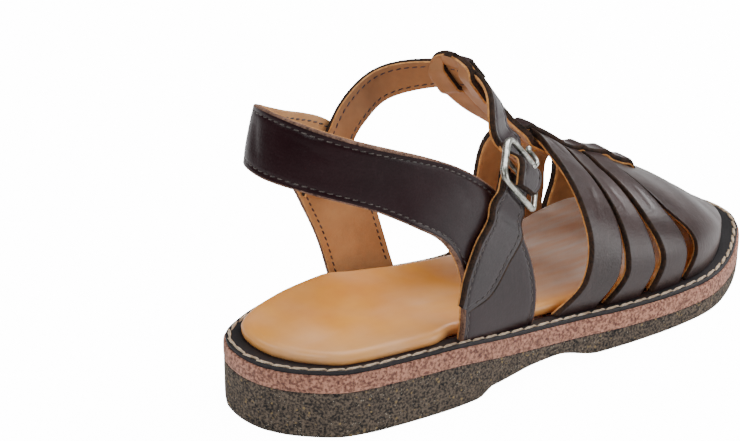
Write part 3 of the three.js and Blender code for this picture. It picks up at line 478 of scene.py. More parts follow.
    def hub(self, y: Array) -> Array:
        """Returns the point on the seat that sections at y are seen from."""
        held = np.minimum(y, self.toe_hub)
        return np.stack([self.feather.middle(held), held, self.plan.seat(held)], -1)

    def section(self, y: Array, angle: Array, height: Array | float) -> Array:
        """Returns the points of the sections at y, at angles in radians from the outer side."""
        way = np.stack([np.cos(angle), np.zeros_like(angle), np.sin(angle)], -1)
        return self.cast(self.hub(y), way, height)


# Meshes


class Zone(Enum):
    """Part of a leather wall's surface."""

    FACE = 0
    RAW = 1
    TRIM = 2
    LINING = 3


@dataclass
class Shell:
    """Vertices, faces, their material numbers and their places on the strap."""

    points: list[Array] = field(default_factory=list)
    faces: list[tuple[int, ...]] = field(default_factory=list)
    zones: list[int] = field(default_factory=list)
    spots: list[Array] = field(default_factory=list)

    def count(self) -> int:
        """Returns how many vertices there are."""
        return sum(len(block) for block in self.points)

    def add(self, points: Array, faces: Sequence[tuple[int, ...]], zones: Sequence[int] | int,
            spots: Array | None = None) -> None:
        """Adds a block of surface.

        Args:
            points: its vertices in millimetres.
            faces: its faces, numbered within the block.
            zones: a material number for each face, or one for all.
            spots: place along and across, in millimetres, of each vertex.
        """
        base = self.count()
        self.points.append(points)
        self.spots.append(points[:, :2] if spots is None else spots)
        self.faces.extend(tuple(k + base for k in face) for face in faces)
        self.zones.extend([zones] * len(faces) if isinstance(zones, int) else zones)


class Workshop:
    """Makes objects of shells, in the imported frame."""

    def __init__(self, plan: SolePlan) -> None:
        """Finds the frame's origin.

        Args:
            plan: the sole's plan, whose middle is the frame's origin.
        """
        outline = plan.outline().at(np.linspace(0, 1, 961))
        centre = (outline.min(0) + outline.max(0)) / 2
        self.origin = np.array([centre[0], centre[1], 0.0])

    def place(self, points: Array) -> Array:
        """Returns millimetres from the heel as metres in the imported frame."""
        return (points - self.origin) * MM

    def make(self, name: str, shell: Shell, materials: Sequence[Material], node: str,
             slot: str, weld: float = 0.0) -> bpy.types.Object:
        """Makes a piece of a shell and ties it to the frame.

        Args:
            name: the piece's name.
            shell: its surface.
            materials: its materials, by zone number.
            node: the CAD node that it stands for.
            slot: the record's material slot; not used.
            weld: vertices closer than this, in millimetres, are joined.

        Returns:
            The new object.
        """
        mesh = bpy.data.meshes.new(name)
        points = self.place(np.concatenate(shell.points))
        mesh.from_pydata(points.tolist(), [], shell.faces)
        spots = np.concatenate(shell.spots) * MM
        layer = mesh.uv_layers.new(name=UV_LAYER)
        loops = np.empty(len(mesh.loops), int)
        mesh.loops.foreach_get("vertex_index", loops)
        layer.data.foreach_set("uv", spots[loops].astype(np.float32).ravel())
        for material in materials:
            mesh.materials.append(material)
        mesh.polygons.foreach_set("material_index", np.array(shell.zones, np.int32))
        mesh.polygons.foreach_set("use_smooth", np.ones(len(mesh.polygons), bool))
        mesh.validate()
        piece = bpy.data.objects.new(name, mesh)
        bpy.context.collection.objects.link(piece)
        self._finish_mesh(mesh, weld)
        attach(piece, "root")
        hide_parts(node)
        LOG.info("%s: %d faces", name, len(mesh.polygons))
        return piece

    @staticmethod
    def _finish_mesh(mesh: bpy.types.Mesh, weld: float) -> None:
        """Welds close vertices and turns the faces outward."""
        work = bmesh.new()
        work.from_mesh(mesh)
        if weld:
            bmesh.ops.remove_doubles(work, verts=work.verts, dist=weld * MM)
        bmesh.ops.recalc_face_normals(work, faces=work.faces)
        work.to_mesh(mesh)
        work.free()
        mesh.update()


@dataclass(frozen=True)
class Crease:
    """A soft trough or ridge pressed into a strap."""

    start: tuple[float, float]
    end: tuple[float, float]
    depth: float
    width: float

    def press(self, along: Array, across: Array) -> Array:
        """Returns how far the crease moves the face at places in millimetres."""
        a, b = np.array(self.start), np.array(self.end)
        way = b - a
        length = float(way @ way)
        t = np.clip(((along - a[0]) * way[0] + (across - a[1]) * way[1]) / length, 0, 1)
        away = np.hypot(along - a[0] - way[0] * t, across - a[1] - way[1] * t)
        ends = np.clip(np.minimum(t, 1 - t) * 4, 0.25, 1)
        return -self.depth * ends * np.exp(-((away / self.width) ** 2))


@dataclass(frozen=True)
class Hide:
    """How a strap's leather is cut and finished at its edges."""

    wall: float = 2.6
    lining: float = 0.75
    channel: float = 0.0
    channel_inset: float = 1.9
    middle: int = 8
    roughness: float = 0.05
    fray: tuple[float, float, float, float] = (2.9, 5.1, 7.3, 1.7)
    bevel: float = 0.58

    def edge(self) -> list[tuple[float, float, Zone]]:
        """Returns the edge's section from the lining to the face: offset, height, zone above."""
        lining, wall = self.lining, self.wall
        return [
            (-0.25, 0.0, Zone.LINING), (0.0, 0.1, Zone.TRIM), (0.05, lining * 0.6, Zone.TRIM),
            (0.0, lining, Zone.RAW), (-0.13, lining + 0.08, Zone.RAW),
            (0.02, lining + 0.22, Zone.RAW), (0.04, mix(lining, wall, 0.5), Zone.RAW),
            (0.0, wall - 0.42, Zone.RAW), (-0.14, wall - 0.18, Zone.RAW),
            (-0.65 * self.bevel, wall - 0.07, Zone.RAW), (-self.bevel, wall - 0.02, Zone.FACE)]

    def face_insets(self) -> list[float]:
        """Returns the distances from the edge of the face's outer columns."""
        c = self.channel_inset
        return [max(0.9, self.bevel + 0.15), c - 0.5, c - 0.2, c, c + 0.2, c + 0.5, c + 1.2]

    def face_height(self, inset: Array) -> Array:
        """Returns the face's height by distance from the edge."""
        sunk = self.channel * hump(inset, self.channel_inset, 0.42)
        return self.wall - sunk - 0.10 * self.channel * hump(inset, 0.0, 1.2)


@dataclass
class Strap:
    """A leather wall between two edges, with its lining, raw edges and creases.

    surface(t, v, height) gives its points: t along, v across from 0 to 1. Where the strap is
    narrower than `narrow`, its edges' sections shrink with it.
    """

    surface: Callable[[Array, Array, Array], Array]
    hide: Hide
    rows: int
    creases: tuple[Crease, ...] = ()
    narrow: float = 9.0
    lining_columns: int = 6

    def __post_init__(self) -> None:
        """Measures the strap along and across."""
        self.t = np.linspace(0, 1, self.rows + 1)
        nought = np.zeros_like(self.t)
        low, mid, high = (self.surface(self.t, nought + v, nought) for v in (0.0, 0.5, 1.0))
        self.width = np.maximum(np.linalg.norm(high - mid, axis=1)
                                + np.linalg.norm(mid - low, axis=1), 0.3)
        self.distance = running_length(mid)
        self.length = float(self.distance[-1])

    def _columns(self) -> list[tuple[float, float, float, Zone]]:
        """Returns the section's points in order: share, inset from that edge, height, zone."""
        hide = self.hide
        edge = hide.edge()
        columns = [(k / self.lining_columns, 0.0, 0.0, Zone.LINING)
                   for k in range(1, self.lining_columns)]
        columns += [(1.0, -off, h, zone) for off, h, zone in edge]
        insets = hide.face_insets()
        columns += [(1.0, inset, math.nan, Zone.FACE) for inset in insets]
        columns += [(1 - k / hide.middle, math.inf, math.nan, Zone.FACE)
                    for k in range(1, hide.middle)]
        columns += [(0.0, inset, math.nan, Zone.FACE) for inset in reversed(insets)]
        above = [zone for _, _, zone in edge]
        for k in range(len(edge) - 1, -1, -1):
            off, h, _ = edge[k]
            columns.append((0.0, -off, h, above[k - 1] if k else Zone.LINING))
        return columns

    def shell(self) -> Shell:
        """Returns the strap's closed surface."""
        columns = self._columns()
        width = self.width[:, None]
        tight = np.minimum(1.0, width / self.narrow)
        last_inset = self.hide.face_insets()[-1]
        shares, heights, across = [], [], []
        for share, inset, height, _ in columns:
            if math.isinf(inset):
                reach = np.minimum(last_inset * tight / width, 0.45)
                v = mix(reach, 1 - reach, share)
            elif inset:
                v = share + (1 - 2 * round(share)) * inset * tight / width
            else:
                v = share + 0 * width
            from_edge = np.minimum(v, 1 - v) * width
            shares.append(v)
            heights.append(self.hide.face_height(from_edge) if math.isnan(height) else height + 0 * width)
            across.append((v - 0.5) * width)
        v = np.concatenate(shares, 1)
        h = np.concatenate(heights, 1)
        spot = np.stack([np.broadcast_to(self.distance[:, None], v.shape),
                         np.concatenate(across, 1)], -1)
        for crease in self.creases:
            share_up = np.clip(h / self.hide.wall, 0, 1)
            h = h + crease.press(spot[..., 0], spot[..., 1]) * share_up
        v = v + self._fray(columns, spot[..., 0], h) / width * np.where(v > 0.5, 1, -1)
        t = np.broadcast_to(self.t[:, None], v.shape)
        points = self.surface(t.ravel(), v.ravel(), h.ravel())
        number = np.arange(v.size).reshape(v.shape)
        ends = [tuple(number[0].tolist()), tuple(reversed(number[-1].tolist()))]
        zones = [zone.value for *_, zone in columns] * (len(number) - 1) + [Zone.RAW.value] * 2
        shell = Shell()
        shell.add(points, ring_faces(number) + ends, zones, spot.reshape(-1, 2))
        return shell

    def _fray(self, columns: Sequence[tuple[float, float, float, Zone]], along: Array,
              height: Array) -> Array:
        """Returns how far the raw edges stand out unevenly, in millimetres."""
        raw = np.array([zone is Zone.RAW for *_, zone in columns])
        first, rising, second, start = self.hide.fray
        ragged = np.sin(along * first + height * rising) * np.sin(along * second + start)
        return raw * ragged * self.hide.roughness

    def line(self, inset: float, high: bool, step: float, start: float = 0.0,
             stop: float = 1.0, is_lining: bool = False) -> tuple[Array, Array]:
        """Returns points and outward directions of a line beside one edge.

        Args:
            inset: its distance from the edge.
            high: whether the edge is the one at v = 1.
            step: distance between the points.
            start: share of the length where it starts.
            stop: share of the length where it ends.
            is_lining: whether it runs on the lining's side.
        """
        count = max(2, int(self.length * (stop - start) * 8))
        t = np.interp(np.linspace(start, stop, count) * self.length, self.distance, self.t)
        width = np.interp(t, self.t, self.width)
        v = 1 - inset / width if high else inset / width
        wall = np.full_like(t, 0.0 if is_lining else self.hide.wall - self.hide.channel)
        points, above = self.surface(t, v, wall), self.surface(t, v, wall + (-1 if is_lining else 1))
        length = running_length(points)
        places = np.arange(step / 2, length[-1], step)
        pick = [np.stack([np.interp(places, length, a[:, k]) for k in range(3)], 1)
                for a in (points, above)]
        return pick[0], unit(pick[1] - pick[0])


@dataclass(frozen=True)
class Seam:
    """A row of stitches in a thread, each sunk at both ends."""

    pitch: float
    length: float
    thread: float
    slant: float = 8.0
    plies: int = 0
    ply_depth: float = 0.2
    ply_twist: float = 2.6
    flattened: float = 0.85
    sunk: float = 0.9
    lift: float = 0.02
    rings: int = 6
    around: int = 6

    def sew(self, points: Array, normals: Array) -> Shell:
        """Returns the stitches at points one pitch apart.

        Args:
            points: a stitch's centre each.
            normals: the outward direction at each.
        """
        shell = Shell()
        way = unit(np.gradient(points, axis=0))
        side = unit(np.cross(normals, way))
        angle = math.radians(self.slant)
        way, side = (way * math.cos(angle) + side * math.sin(angle),
                     side * math.cos(angle) - way * math.sin(angle))
        s = np.linspace(-1, 1, self.rings + 1)
        turn = np.linspace(0, 2 * np.pi, self.around, endpoint=False)
        full = np.sqrt(np.clip(1 - np.abs(s) ** 4, 0.03, 1))
        twist = 1.0
        if self.plies:
            twist += self.ply_depth * np.cos(self.plies * (turn[None, :] + s[:, None] * self.ply_twist))
        radius = self.thread * full[:, None] * twist * np.ones(self.around)
        rise = self.lift - self.thread * self.sunk * s ** 4
        local_side = radius * np.cos(turn)
        local_up = radius * np.sin(turn) * self.flattened + rise[:, None]
        ahead = np.broadcast_to((s * self.length / 2)[:, None], local_side.shape)
        block = (points[:, None, None, :] + ahead[None, ..., None] * way[:, None, None, :]
                 + local_side[None, ..., None] * side[:, None, None, :]
                 + local_up[None, ..., None] * normals[:, None, None, :])
        number = np.arange((self.rings + 1) * self.around).reshape(self.rings + 1, self.around)
        faces = ring_faces(number)
        faces += [tuple(reversed(number[0].tolist())), tuple(number[-1].tolist())]
        for stitch in block.reshape(len(points), -1, 3):
            shell.add(stitch, faces, 0)
        return shell


def joined(*shells: Shell) -> Shell:
    """Returns one shell of several."""
    whole = Shell()
    for shell in shells:
        points = np.concatenate(shell.points)
        whole.add(points, shell.faces, shell.zones, np.concatenate(shell.spots))
    return whole


# Finishes


def paint(red: int, green: int, blue: int) -> Colour:
    """Returns an sRGB colour from 0 to 255 as linear values."""
    def linear(c: float) -> float:
        return c / 12.92 if c <= 0.04045 else ((c + 0.055) / 1.055) ** 2.4
    return tuple(linear(c / 255) for c in (red, green, blue))


class Nodes:
    """Builds the nodes of one tree.

    A Mix node has sockets for every type of value; those named here are its colour ones.
    """

    blend_sockets = (0, 6, 7)
    blend_result = 2

    def __init__(self, tree: bpy.types.NodeTree) -> None:
        """Keeps the tree.

        Args:
            tree: the node tree to build in.
        """
        self.tree = tree

    def add(self, kind: str, **values: object) -> bpy.types.Node:
        """Adds a node and sets its properties, and its sockets by name."""
        node = self.tree.nodes.new(kind)
        for name, value in values.items():
            if hasattr(node, name):
                setattr(node, name, value)
            else:
                node.inputs[name.replace("_", " ")].default_value = value
        return node

    def link(self, source: Socket, target: Socket) -> None:
        """Links two sockets."""
        self.tree.links.new(source, target)

    def maths(self, operation: str, a: object, b: object) -> Socket:
        """Returns the result of a Math node on sockets or numbers."""
        node = self.add("ShaderNodeMath", operation=operation)
        for socket, value in zip(node.inputs, (a, b)):
            if isinstance(value, (int, float)):
                socket.default_value = value
            else:
                self.link(value, socket)
        return node.outputs[0]

    def times(self, a: object, b: object) -> Socket:
        """Returns the product of two sockets or numbers."""
        return self.maths("MULTIPLY", a, b)

    def plus(self, a: object, b: object) -> Socket:
        """Returns the sum of two sockets or numbers."""
        return self.maths("ADD", a, b)

    def blend(self, factor: object, a: object, b: object) -> Socket:
        """Returns the colour result of a Mix node on sockets or colours."""
        node = self.add("ShaderNodeMix", data_type="RGBA")
        share, first, second = (node.inputs[k] for k in self.blend_sockets)
        for socket, value in ((share, factor), (first, a), (second, b)):
            if isinstance(value, (int, float)):
                socket.default_value = value
            elif isinstance(value, tuple):
                socket.default_value = (*value, 1.0)
            else:
                self.link(value, socket)
        return node.outputs[self.blend_result]

    def span(self, value: Socket, low: float, high: float, to_low: float = 0.0,
             to_high: float = 1.0) -> Socket:
        """Returns value mapped from one range to another and clamped."""
        node = self.add("ShaderNodeMapRange", From_Min=low, From_Max=high, To_Min=to_low, To_Max=to_high)
        self.link(value, node.inputs["Value"])
        return node.outputs[0]

    def noise(self, where: Socket, scale: float, detail: float = 3.0,
              roughness: float = 0.55) -> Socket:
        """Returns a noise value; scale is per metre."""
        node = self.add("ShaderNodeTexNoise", Scale=scale, Detail=detail, Roughness=roughness)
        self.link(where, node.inputs["Vector"])
        return node.outputs["Fac"]

    def cells(self, where: Socket, scale: float,
              feature: str = "F1") -> Socket:
        """Returns the distance to a scattered point; scale is per metre."""
        node = self.add("ShaderNodeTexVoronoi", feature=feature, Scale=scale)
        self.link(where, node.inputs["Vector"])
        return node.outputs["Distance"]

    def place(self) -> Socket:
        """Returns the place in the object's own frame, in metres."""
        return self.add("ShaderNodeTexCoord").outputs["Object"]

    def strap_place(self) -> Socket:
        """Returns the place along and across a strap, in metres."""
        return self.add("ShaderNodeUVMap", uv_map=UV_LAYER).outputs[0]

    def separate(self, vector: Socket, axis: str) -> Socket:
        """Returns one part of a vector."""
        node = self.add("ShaderNodeSeparateXYZ")
        self.link(vector, node.inputs[0])
        return node.outputs[axis]

    def stretched(self, where: Socket, scale: Colour) -> Socket:
        """Returns coordinates scaled along each axis."""
        node = self.add("ShaderNodeMapping", Scale=scale)
        self.link(where, node.inputs["Vector"])
        return node.outputs[0]


class Effect:
    """A shader node group that several finishes share."""

    cache: dict[str, bpy.types.NodeTree] = {}

    def __init__(self, name: str, inputs: dict[str, float], outputs: Sequence[str]) -> None:
        """Makes an empty group.

        Args:
            name: the group's name.
            inputs: its value inputs and their defaults.
            outputs: its value outputs.
        """
        self.tree = bpy.data.node_groups.new(name, "ShaderNodeTree")
        for label, value in inputs.items():
            socket = self.tree.interface.new_socket(label, in_out="INPUT", socket_type="NodeSocketFloat")
            socket.default_value = value
        for label in outputs:
            self.tree.interface.new_socket(label, in_out="OUTPUT", socket_type="NodeSocketFloat")
        self.nodes = Nodes(self.tree)
        self.inputs = self.nodes.add("NodeGroupInput").outputs
        self.outputs = self.nodes.add("NodeGroupOutput").inputs
        self.where = self.nodes.place()

    @classmethod
    def grain(cls) -> bpy.types.NodeTree:
        """Returns the grain of smooth leather: its relief, its pores and its cloudy tone."""
        if "grain" not in cls.cache:
            made = cls("leather_grain", {"Grain": 1.0, "Cloud": 1.0}, ("Height", "Tone", "Rub"))
            n, where = made.nodes, made.where
            pebble = n.cells(where, 1500.0, "SMOOTH_F1")
            fine = n.noise(where, 2600.0, 4.0, 0.6)
            folds = n.noise(n.stretched(where, (1.0, 0.45, 1.0)), 420.0, 5.0, 0.62)
            relief = n.plus(n.times(pebble, 0.35), n.times(fine, 0.3))
            relief = n.plus(relief, n.times(folds, 0.9))
            n.link(n.times(relief, made.inputs["Grain"]), made.outputs["Height"])
            cloud = n.noise(where, 38.0, 4.0, 0.6)
            n.link(n.times(n.span(cloud, 0.32, 0.68), made.inputs["Cloud"]), made.outputs["Tone"])
            rub = n.noise(n.stretched(where, (1.0, 1.0, 0.25)), 520.0, 3.0, 0.7)
            n.link(n.span(rub, 0.55, 0.75), made.outputs["Rub"])
            cls.cache["grain"] = made.tree
        return cls.cache["grain"]

    @classmethod
    def fibres(cls) -> bpy.types.NodeTree:
        """Returns cut or suede leather's loose fibres: relief and tone."""
        if "fibres" not in cls.cache:
            made = cls("cut_fibres", {"Coarse": 1.0}, ("Height", "Tone"))
            n, where = made.nodes, made.where
            tuft = n.noise(where, 1300.0, 6.0, 0.75)
            clump = n.noise(where, 300.0, 5.0, 0.7)
            relief = n.plus(tuft, n.times(clump, 0.8))
            n.link(n.times(relief, made.inputs["Coarse"]), made.outputs["Height"])
            tone = n.plus(n.times(tuft, 0.6), n.times(clump, 0.5))
            n.link(n.span(tone, 0.44, 0.66), made.outputs["Tone"])
            cls.cache["fibres"] = made.tree
        return cls.cache["fibres"]


@dataclass(frozen=True)
class Finish:
    """Base of the finishes: a Principled material with relief."""

    name: str

    def start(self, **settings: float) -> tuple[Material, Nodes, bpy.types.Node]:
        """Returns a new material, its nodes and its shader with the settings by socket name."""
        material = bpy.data.materials.new(self.name)
        material.use_nodes = True
        tree = material.node_tree
        tree.nodes.clear()
        nodes = Nodes(tree)
        shader = nodes.add("ShaderNodeBsdfPrincipled", **settings)
        out = nodes.add("ShaderNodeOutputMaterial")
        nodes.link(shader.outputs[0], out.inputs[0])
        return material, nodes, shader

    @staticmethod
    def group(nodes: Nodes, tree: bpy.types.NodeTree, **values: float) -> bpy.types.Node:
        """Returns a placed node group with its inputs set."""
        node = nodes.add("ShaderNodeGroup", node_tree=tree)
        for label, value in values.items():
            node.inputs[label].default_value = value
        return node

    @staticmethod
    def relief(nodes: Nodes, shader: bpy.types.Node, height: Socket, strength: float,
               distance: float) -> None:
        """Feeds a height to the shader's normal."""
        bump = nodes.add("ShaderNodeBump", Strength=strength, Distance=distance)
        nodes.link(height, bump.inputs["Height"])
        nodes.link(bump.outputs[0], shader.inputs["Normal"])


@dataclass(frozen=True)
class PolishedLeather(Finish):
    """The upper's waxed outer leather.

    A strap with glossy_until has more of the coat up to that length, in millimetres.
    """

    dark: Colour
    light: Colour
    gloss: float = 0.36
    specular: float = 0.5
    coat: float = 0.1
    grain: float = 1.0
    glossy_until: float = 0.0
    glossy_coat: float = 0.62
    streaks: float = 0.5

    def make(self) -> Material:
        """Returns the material."""
        material, nodes, shader = self.start(
            Specular_IOR_Level=self.specular, Coat_Weight=self.coat, Coat_Roughness=0.28)
        grain = self.group(nodes, Effect.grain(), Grain=self.grain, Cloud=1.0)
        tone = nodes.blend(grain.outputs["Tone"], self.dark, self.light)
        lifted = tuple(min(1.0, c * 1.7 + 0.01) for c in self.light)
        worn = nodes.blend(nodes.times(grain.outputs["Rub"], 0.22), tone, lifted)
        nodes.link(worn, shader.inputs["Base Color"])
        rough = nodes.span(grain.outputs["Tone"], 0.0, 1.0, self.gloss - 0.05, self.gloss + 0.08)
        nodes.link(rough, shader.inputs["Roughness"])
        if self.glossy_until:
            along = nodes.separate(nodes.strap_place(), "X")
            near, far = (self.glossy_until * share * MM for share in (0.75, 1.25))
            nodes.link(nodes.span(along, near, far, self.glossy_coat, self.coat),
                       shader.inputs["Coat Weight"])
        strand = nodes.noise(nodes.stretched(nodes.strap_place(), (0.06, 1.0, 1.0)), 900.0, 4.0)
        height = nodes.plus(grain.outputs["Height"], nodes.times(strand, self.streaks))
        self.relief(nodes, shader, height, 0.55, 0.00022)
        return material


@dataclass(frozen=True)
class LiningLeather(Finish):
    """Plain vegetable-tanned leather, as the lining, its cut edge or the insole."""

    colour: Colour
    shade: Colour
    gloss: float = 0.6
    coat: float = 0.0
    grain: float = 0.6
    marks: float = 0.25
    # Pale colour of the painted sheen under the straps, which stands in for a glossy reflection, and of
    # random pale patches.
    sheen_and_pale_patches: Colour | None = None
    ribs: float = 0.0

    def make(self) -> Material:
        """Returns the material."""
        material, nodes, shader = self.start(Coat_Weight=self.coat, Coat_Roughness=0.3)
        grain = self.group(nodes, Effect.grain(), Grain=self.grain, Cloud=1.0)
        tone = nodes.blend(grain.outputs["Tone"], self.shade, self.colour)
        marked = nodes.blend(nodes.times(grain.outputs["Rub"], self.marks), tone, self.shade)
        if self.sheen_and_pale_patches:
            marked = self._paint_sheen_with_patches(nodes, marked)
        nodes.link(marked, shader.inputs["Base Color"])
        nodes.link(nodes.span(grain.outputs["Tone"], 0, 1, self.gloss + 0.05, self.gloss - 0.05),
                   shader.inputs["Roughness"])
        rib = nodes.noise(nodes.stretched(nodes.strap_place(), (1.0, 0.16, 1.0)), 800.0, 3.0)
        height = nodes.plus(grain.outputs["Height"], nodes.times(rib, self.ribs))
        self.relief(nodes, shader, height, 0.4, 0.00018)
        return material

    def _paint_sheen_with_patches(self, nodes: Nodes, tone: Socket) -> Socket:
        """Returns the colour with a pale painted sheen under the straps, standing in for a glossy
        reflection, and random pale patches, both streaked lengthwise.
        """
        where = nodes.place()
        along, across = nodes.separate(where, "Y"), nodes.separate(where, "X")
        streak = nodes.noise(nodes.stretched(where, (1.0, 0.12, 1.0)), 260.0, 3.0)
        front = nodes.span(along, -0.022, 0.022)
        inside = nodes.span(across, 0.027, 0.017)
        heel = nodes.times(nodes.span(nodes.noise(where, 30.0, 2.0), 0.4, 0.65), 0.18)
        # front times inside is the painted sheen on the ball under the straps; heel adds random pale
        # patches across the insole.
        share = nodes.maths("MAXIMUM", nodes.times(front, inside), heel)
        uneven = nodes.span(streak, 0.3, 0.7, 0.65, 1.0)
        return nodes.blend(nodes.times(share, uneven), tone, self.sheen_and_pale_patches)


@dataclass(frozen=True)
class CutEdge(Finish):
    """Raw cut leather: fibrous and matt."""

    colour: Colour
    shade: Colour
    coarse: float = 1.0
    depth: float = 0.0004

    def make(self) -> Material:
        """Returns the material."""
        material, nodes, shader = self.start(Specular_IOR_Level=0.25)
        fibres = self.group(nodes, Effect.fibres(), Coarse=self.coarse)
        nodes.link(nodes.blend(fibres.outputs["Tone"], self.shade, self.colour),
                   shader.inputs["Base Color"])
        nodes.link(nodes.span(fibres.outputs["Tone"], 0, 1, 0.78, 0.92), shader.inputs["Roughness"])
        self.relief(nodes, shader, fibres.outputs["Height"], 0.9, self.depth)
        return material


@dataclass(frozen=True)
class SuedeEdge(Finish):
    """The midsole's pink-brown buffed edge, unevenly soiled."""

    colour: Colour = paint(232, 168, 142)
    shade: Colour = paint(88, 50, 40)
    soil: Colour = paint(128, 92, 80)

    def make(self) -> Material:
        """Returns the material."""
        material, nodes, shader = self.start(Specular_IOR_Level=0.2, Sheen_Weight=0.15)
        fibres = self.group(nodes, Effect.fibres(), Coarse=1.0)
        grain = self.group(nodes, Effect.grain(), Grain=1.0, Cloud=1.0)
        speck = nodes.noise(nodes.place(), 1000.0, 2.0)
        share = nodes.times(fibres.outputs["Tone"], 0.35)
        share = nodes.plus(share, nodes.span(speck, 0.40, 0.60, 0.0, 0.65))
        tone = nodes.blend(share, self.shade, self.colour)
        soiled = nodes.times(grain.outputs["Tone"], 0.25)
        nodes.link(nodes.blend(soiled, tone, self.soil), shader.inputs["Base Color"])
        nodes.link(nodes.span(fibres.outputs["Tone"], 0, 1, 0.84, 0.94), shader.inputs["Roughness"])
        self.relief(nodes, shader, fibres.outputs["Height"], 0.9, 0.0005)
        return material


@dataclass(frozen=True)
class CrepeRubber(Finish):
    """The outsole's dark crumb rubber with pale and gold flecks."""

    colour: Colour = paint(122, 108, 94)
    shade: Colour = paint(28, 27, 28)
    fleck: Colour = paint(150, 128, 92)
    pale: Colour = paint(176, 168, 152)

    def make(self) -> Material:
        """Returns the material."""
        material, nodes, shader = self.start(Specular_IOR_Level=0.3)
        where = nodes.place()
        fibres = self.group(nodes, Effect.fibres(), Coarse=1.0)
        grit = nodes.span(nodes.noise(where, 1300.0, 2.0), 0.42, 0.58, 0.0, 0.55)
        share = nodes.plus(grit, nodes.times(fibres.outputs["Tone"], 0.45))
        tone = nodes.blend(share, self.shade, self.colour)
        crumb = nodes.cells(where, 620.0)
        pick = nodes.noise(where, 480.0, 1.0)
        gold = nodes.times(nodes.span(crumb, 0.34, 0.22), nodes.span(pick, 0.56, 0.62))
        tone = nodes.blend(gold, tone, self.fleck)
        dust = nodes.cells(where, 1500.0)
        spot = nodes.noise(where, 700.0, 1.0)
        white = nodes.times(nodes.span(dust, 0.30, 0.18), nodes.span(spot, 0.60, 0.66))
        nodes.link(nodes.blend(white, tone, self.pale), shader.inputs["Base Color"])
        nodes.link(nodes.span(fibres.outputs["Tone"], 0, 1, 0.82, 0.95), shader.inputs["Roughness"])
        pits = nodes.times(nodes.cells(where, 900.0, "SMOOTH_F1"), 0.7)
        pores = nodes.plus(fibres.outputs["Height"], pits)
        self.relief(nodes, shader, pores, 0.9, 0.0005)
        return material


@dataclass(frozen=True)
class Thread(Finish):
    """Waxed sewing thread."""

    colour: Colour = paint(226, 205, 178)
    shade: Colour = paint(150, 122, 96)
    gloss: float = 0.6

    def make(self) -> Material:
        """Returns the material."""
        material, nodes, shader = self.start()
        fibres = self.group(nodes, Effect.fibres(), Coarse=1.0)
        nodes.link(nodes.blend(fibres.outputs["Tone"], self.shade, self.colour),
                   shader.inputs["Base Color"])
        nodes.link(nodes.span(fibres.outputs["Tone"], 0, 1, self.gloss, self.gloss + 0.15),
                   shader.inputs["Roughness"])
        self.relief(nodes, shader, fibres.outputs["Height"], 0.4, 0.0001)
        return material


@dataclass(frozen=True)
class WornNickel(Finish):
    """The buckle's dull plated wire with rubbed spots."""

    colour: Colour = paint(214, 213, 205)
    shade: Colour = paint(132, 136, 128)
    pit: Colour = paint(96, 84, 70)

    def make(self) -> Material:
        """Returns the material."""
        material, nodes, shader = self.start()
        where = nodes.place()
        haze = nodes.noise(where, 420.0, 5.0, 0.65)
        pits = nodes.cells(where, 900.0)
        tone = nodes.blend(nodes.span(haze, 0.38, 0.62), self.shade, self.colour)
        spots = nodes.times(nodes.span(pits, 0.22, 0.12), 0.6)
        nodes.link(nodes.blend(spots, tone, self.pit), shader.inputs["Base Color"])
        nodes.link(nodes.span(haze, 0.3, 0.7, 0.42, 0.26), shader.inputs["Roughness"])
        nodes.link(nodes.span(spots, 0, 1, 1.0, 0.7), shader.inputs["Metallic"])
        self.relief(nodes, shader, nodes.plus(haze, pits), 0.2, 0.0001)
        return material


class Palette:
    """All finishes of the sandal."""

    def __init__(self) -> None:
        """Makes the materials."""
        self.outsole = CrepeRubber("crepe_rubber").make()
        self.midsole = SuedeEdge("midsole_edge").make()
        self.rand = PolishedLeather("welt_leather", dark=paint(14, 12, 14), light=paint(34, 30, 33),
                                    gloss=0.55, specular=0.4, coat=0.0, grain=0.9).make()
        # The insole's pale colour is a painted sheen under the straps and random pale patches.
        self.insole = LiningLeather("insole_leather", colour=paint(244, 170, 74),
                                    shade=paint(228, 146, 56), gloss=0.4, coat=0.15, grain=0.25,
                                    marks=0.06, sheen_and_pale_patches=paint(255, 246, 238)).make()
        self.lining = LiningLeather("lining_leather", colour=paint(216, 164, 112),
                                    shade=paint(182, 132, 86), ribs=1.4).make()
        # A darker copy of the lining: painted shade for the undersides of the ankle strap and the T-bar,
        # which face away from the light.
        self.shaded_lining = LiningLeather("shaded_lining", colour=paint(190, 136, 90),
                                          shade=paint(148, 102, 66), ribs=0.8).make()
        self.trim = CutEdge("lining_cut_edge", colour=paint(232, 168, 100), shade=paint(160, 106, 60),
                            coarse=0.6, depth=0.0002).make()
        self.raw = CutEdge("raw_cut_edge", colour=paint(70, 50, 38), shade=paint(18, 13, 11)).make()
        self.heel_raw = CutEdge("heel_cut_edge", colour=paint(150, 116, 98),
                                shade=paint(66, 46, 38)).make()
        self.vamp = PolishedLeather("vamp_leather", dark=paint(42, 28, 27), light=paint(62, 43, 41),
                                    gloss=0.38).make()
        self.heel = PolishedLeather("heel_leather", dark=paint(30, 12, 16), light=paint(42, 22, 26),
                                    gloss=0.32, specular=0.1, coat=0.06, glossy_until=52.0).make()
        self.ankle = PolishedLeather("strap_leather", dark=paint(32, 20, 23), light=paint(48, 33, 36),
                                     gloss=0.40).make()
        self.dark_thread = Thread("dark_thread", colour=paint(96, 84, 80), shade=paint(16, 12, 12),
                                  gloss=0.4).make()
        self.welt_thread = Thread("welt_thread").make()
        self.metal = WornNickel("worn_nickel").make()

    def wall(self, face: Material, in_shade: bool = False) -> list[Material]:
        """Returns a wall's materials by zone; on request the darker lining, which is painted shade for
        linings that face down, away from the light.
        """
        return [face, self.raw, self.trim, self.shaded_lining if in_shade else self.lining]


# The sole


@dataclass(frozen=True)
class Ring:
    """One ring of a sole layer: how far it is set in, and its height along the sole."""

    inset: Along | float
    height: Along


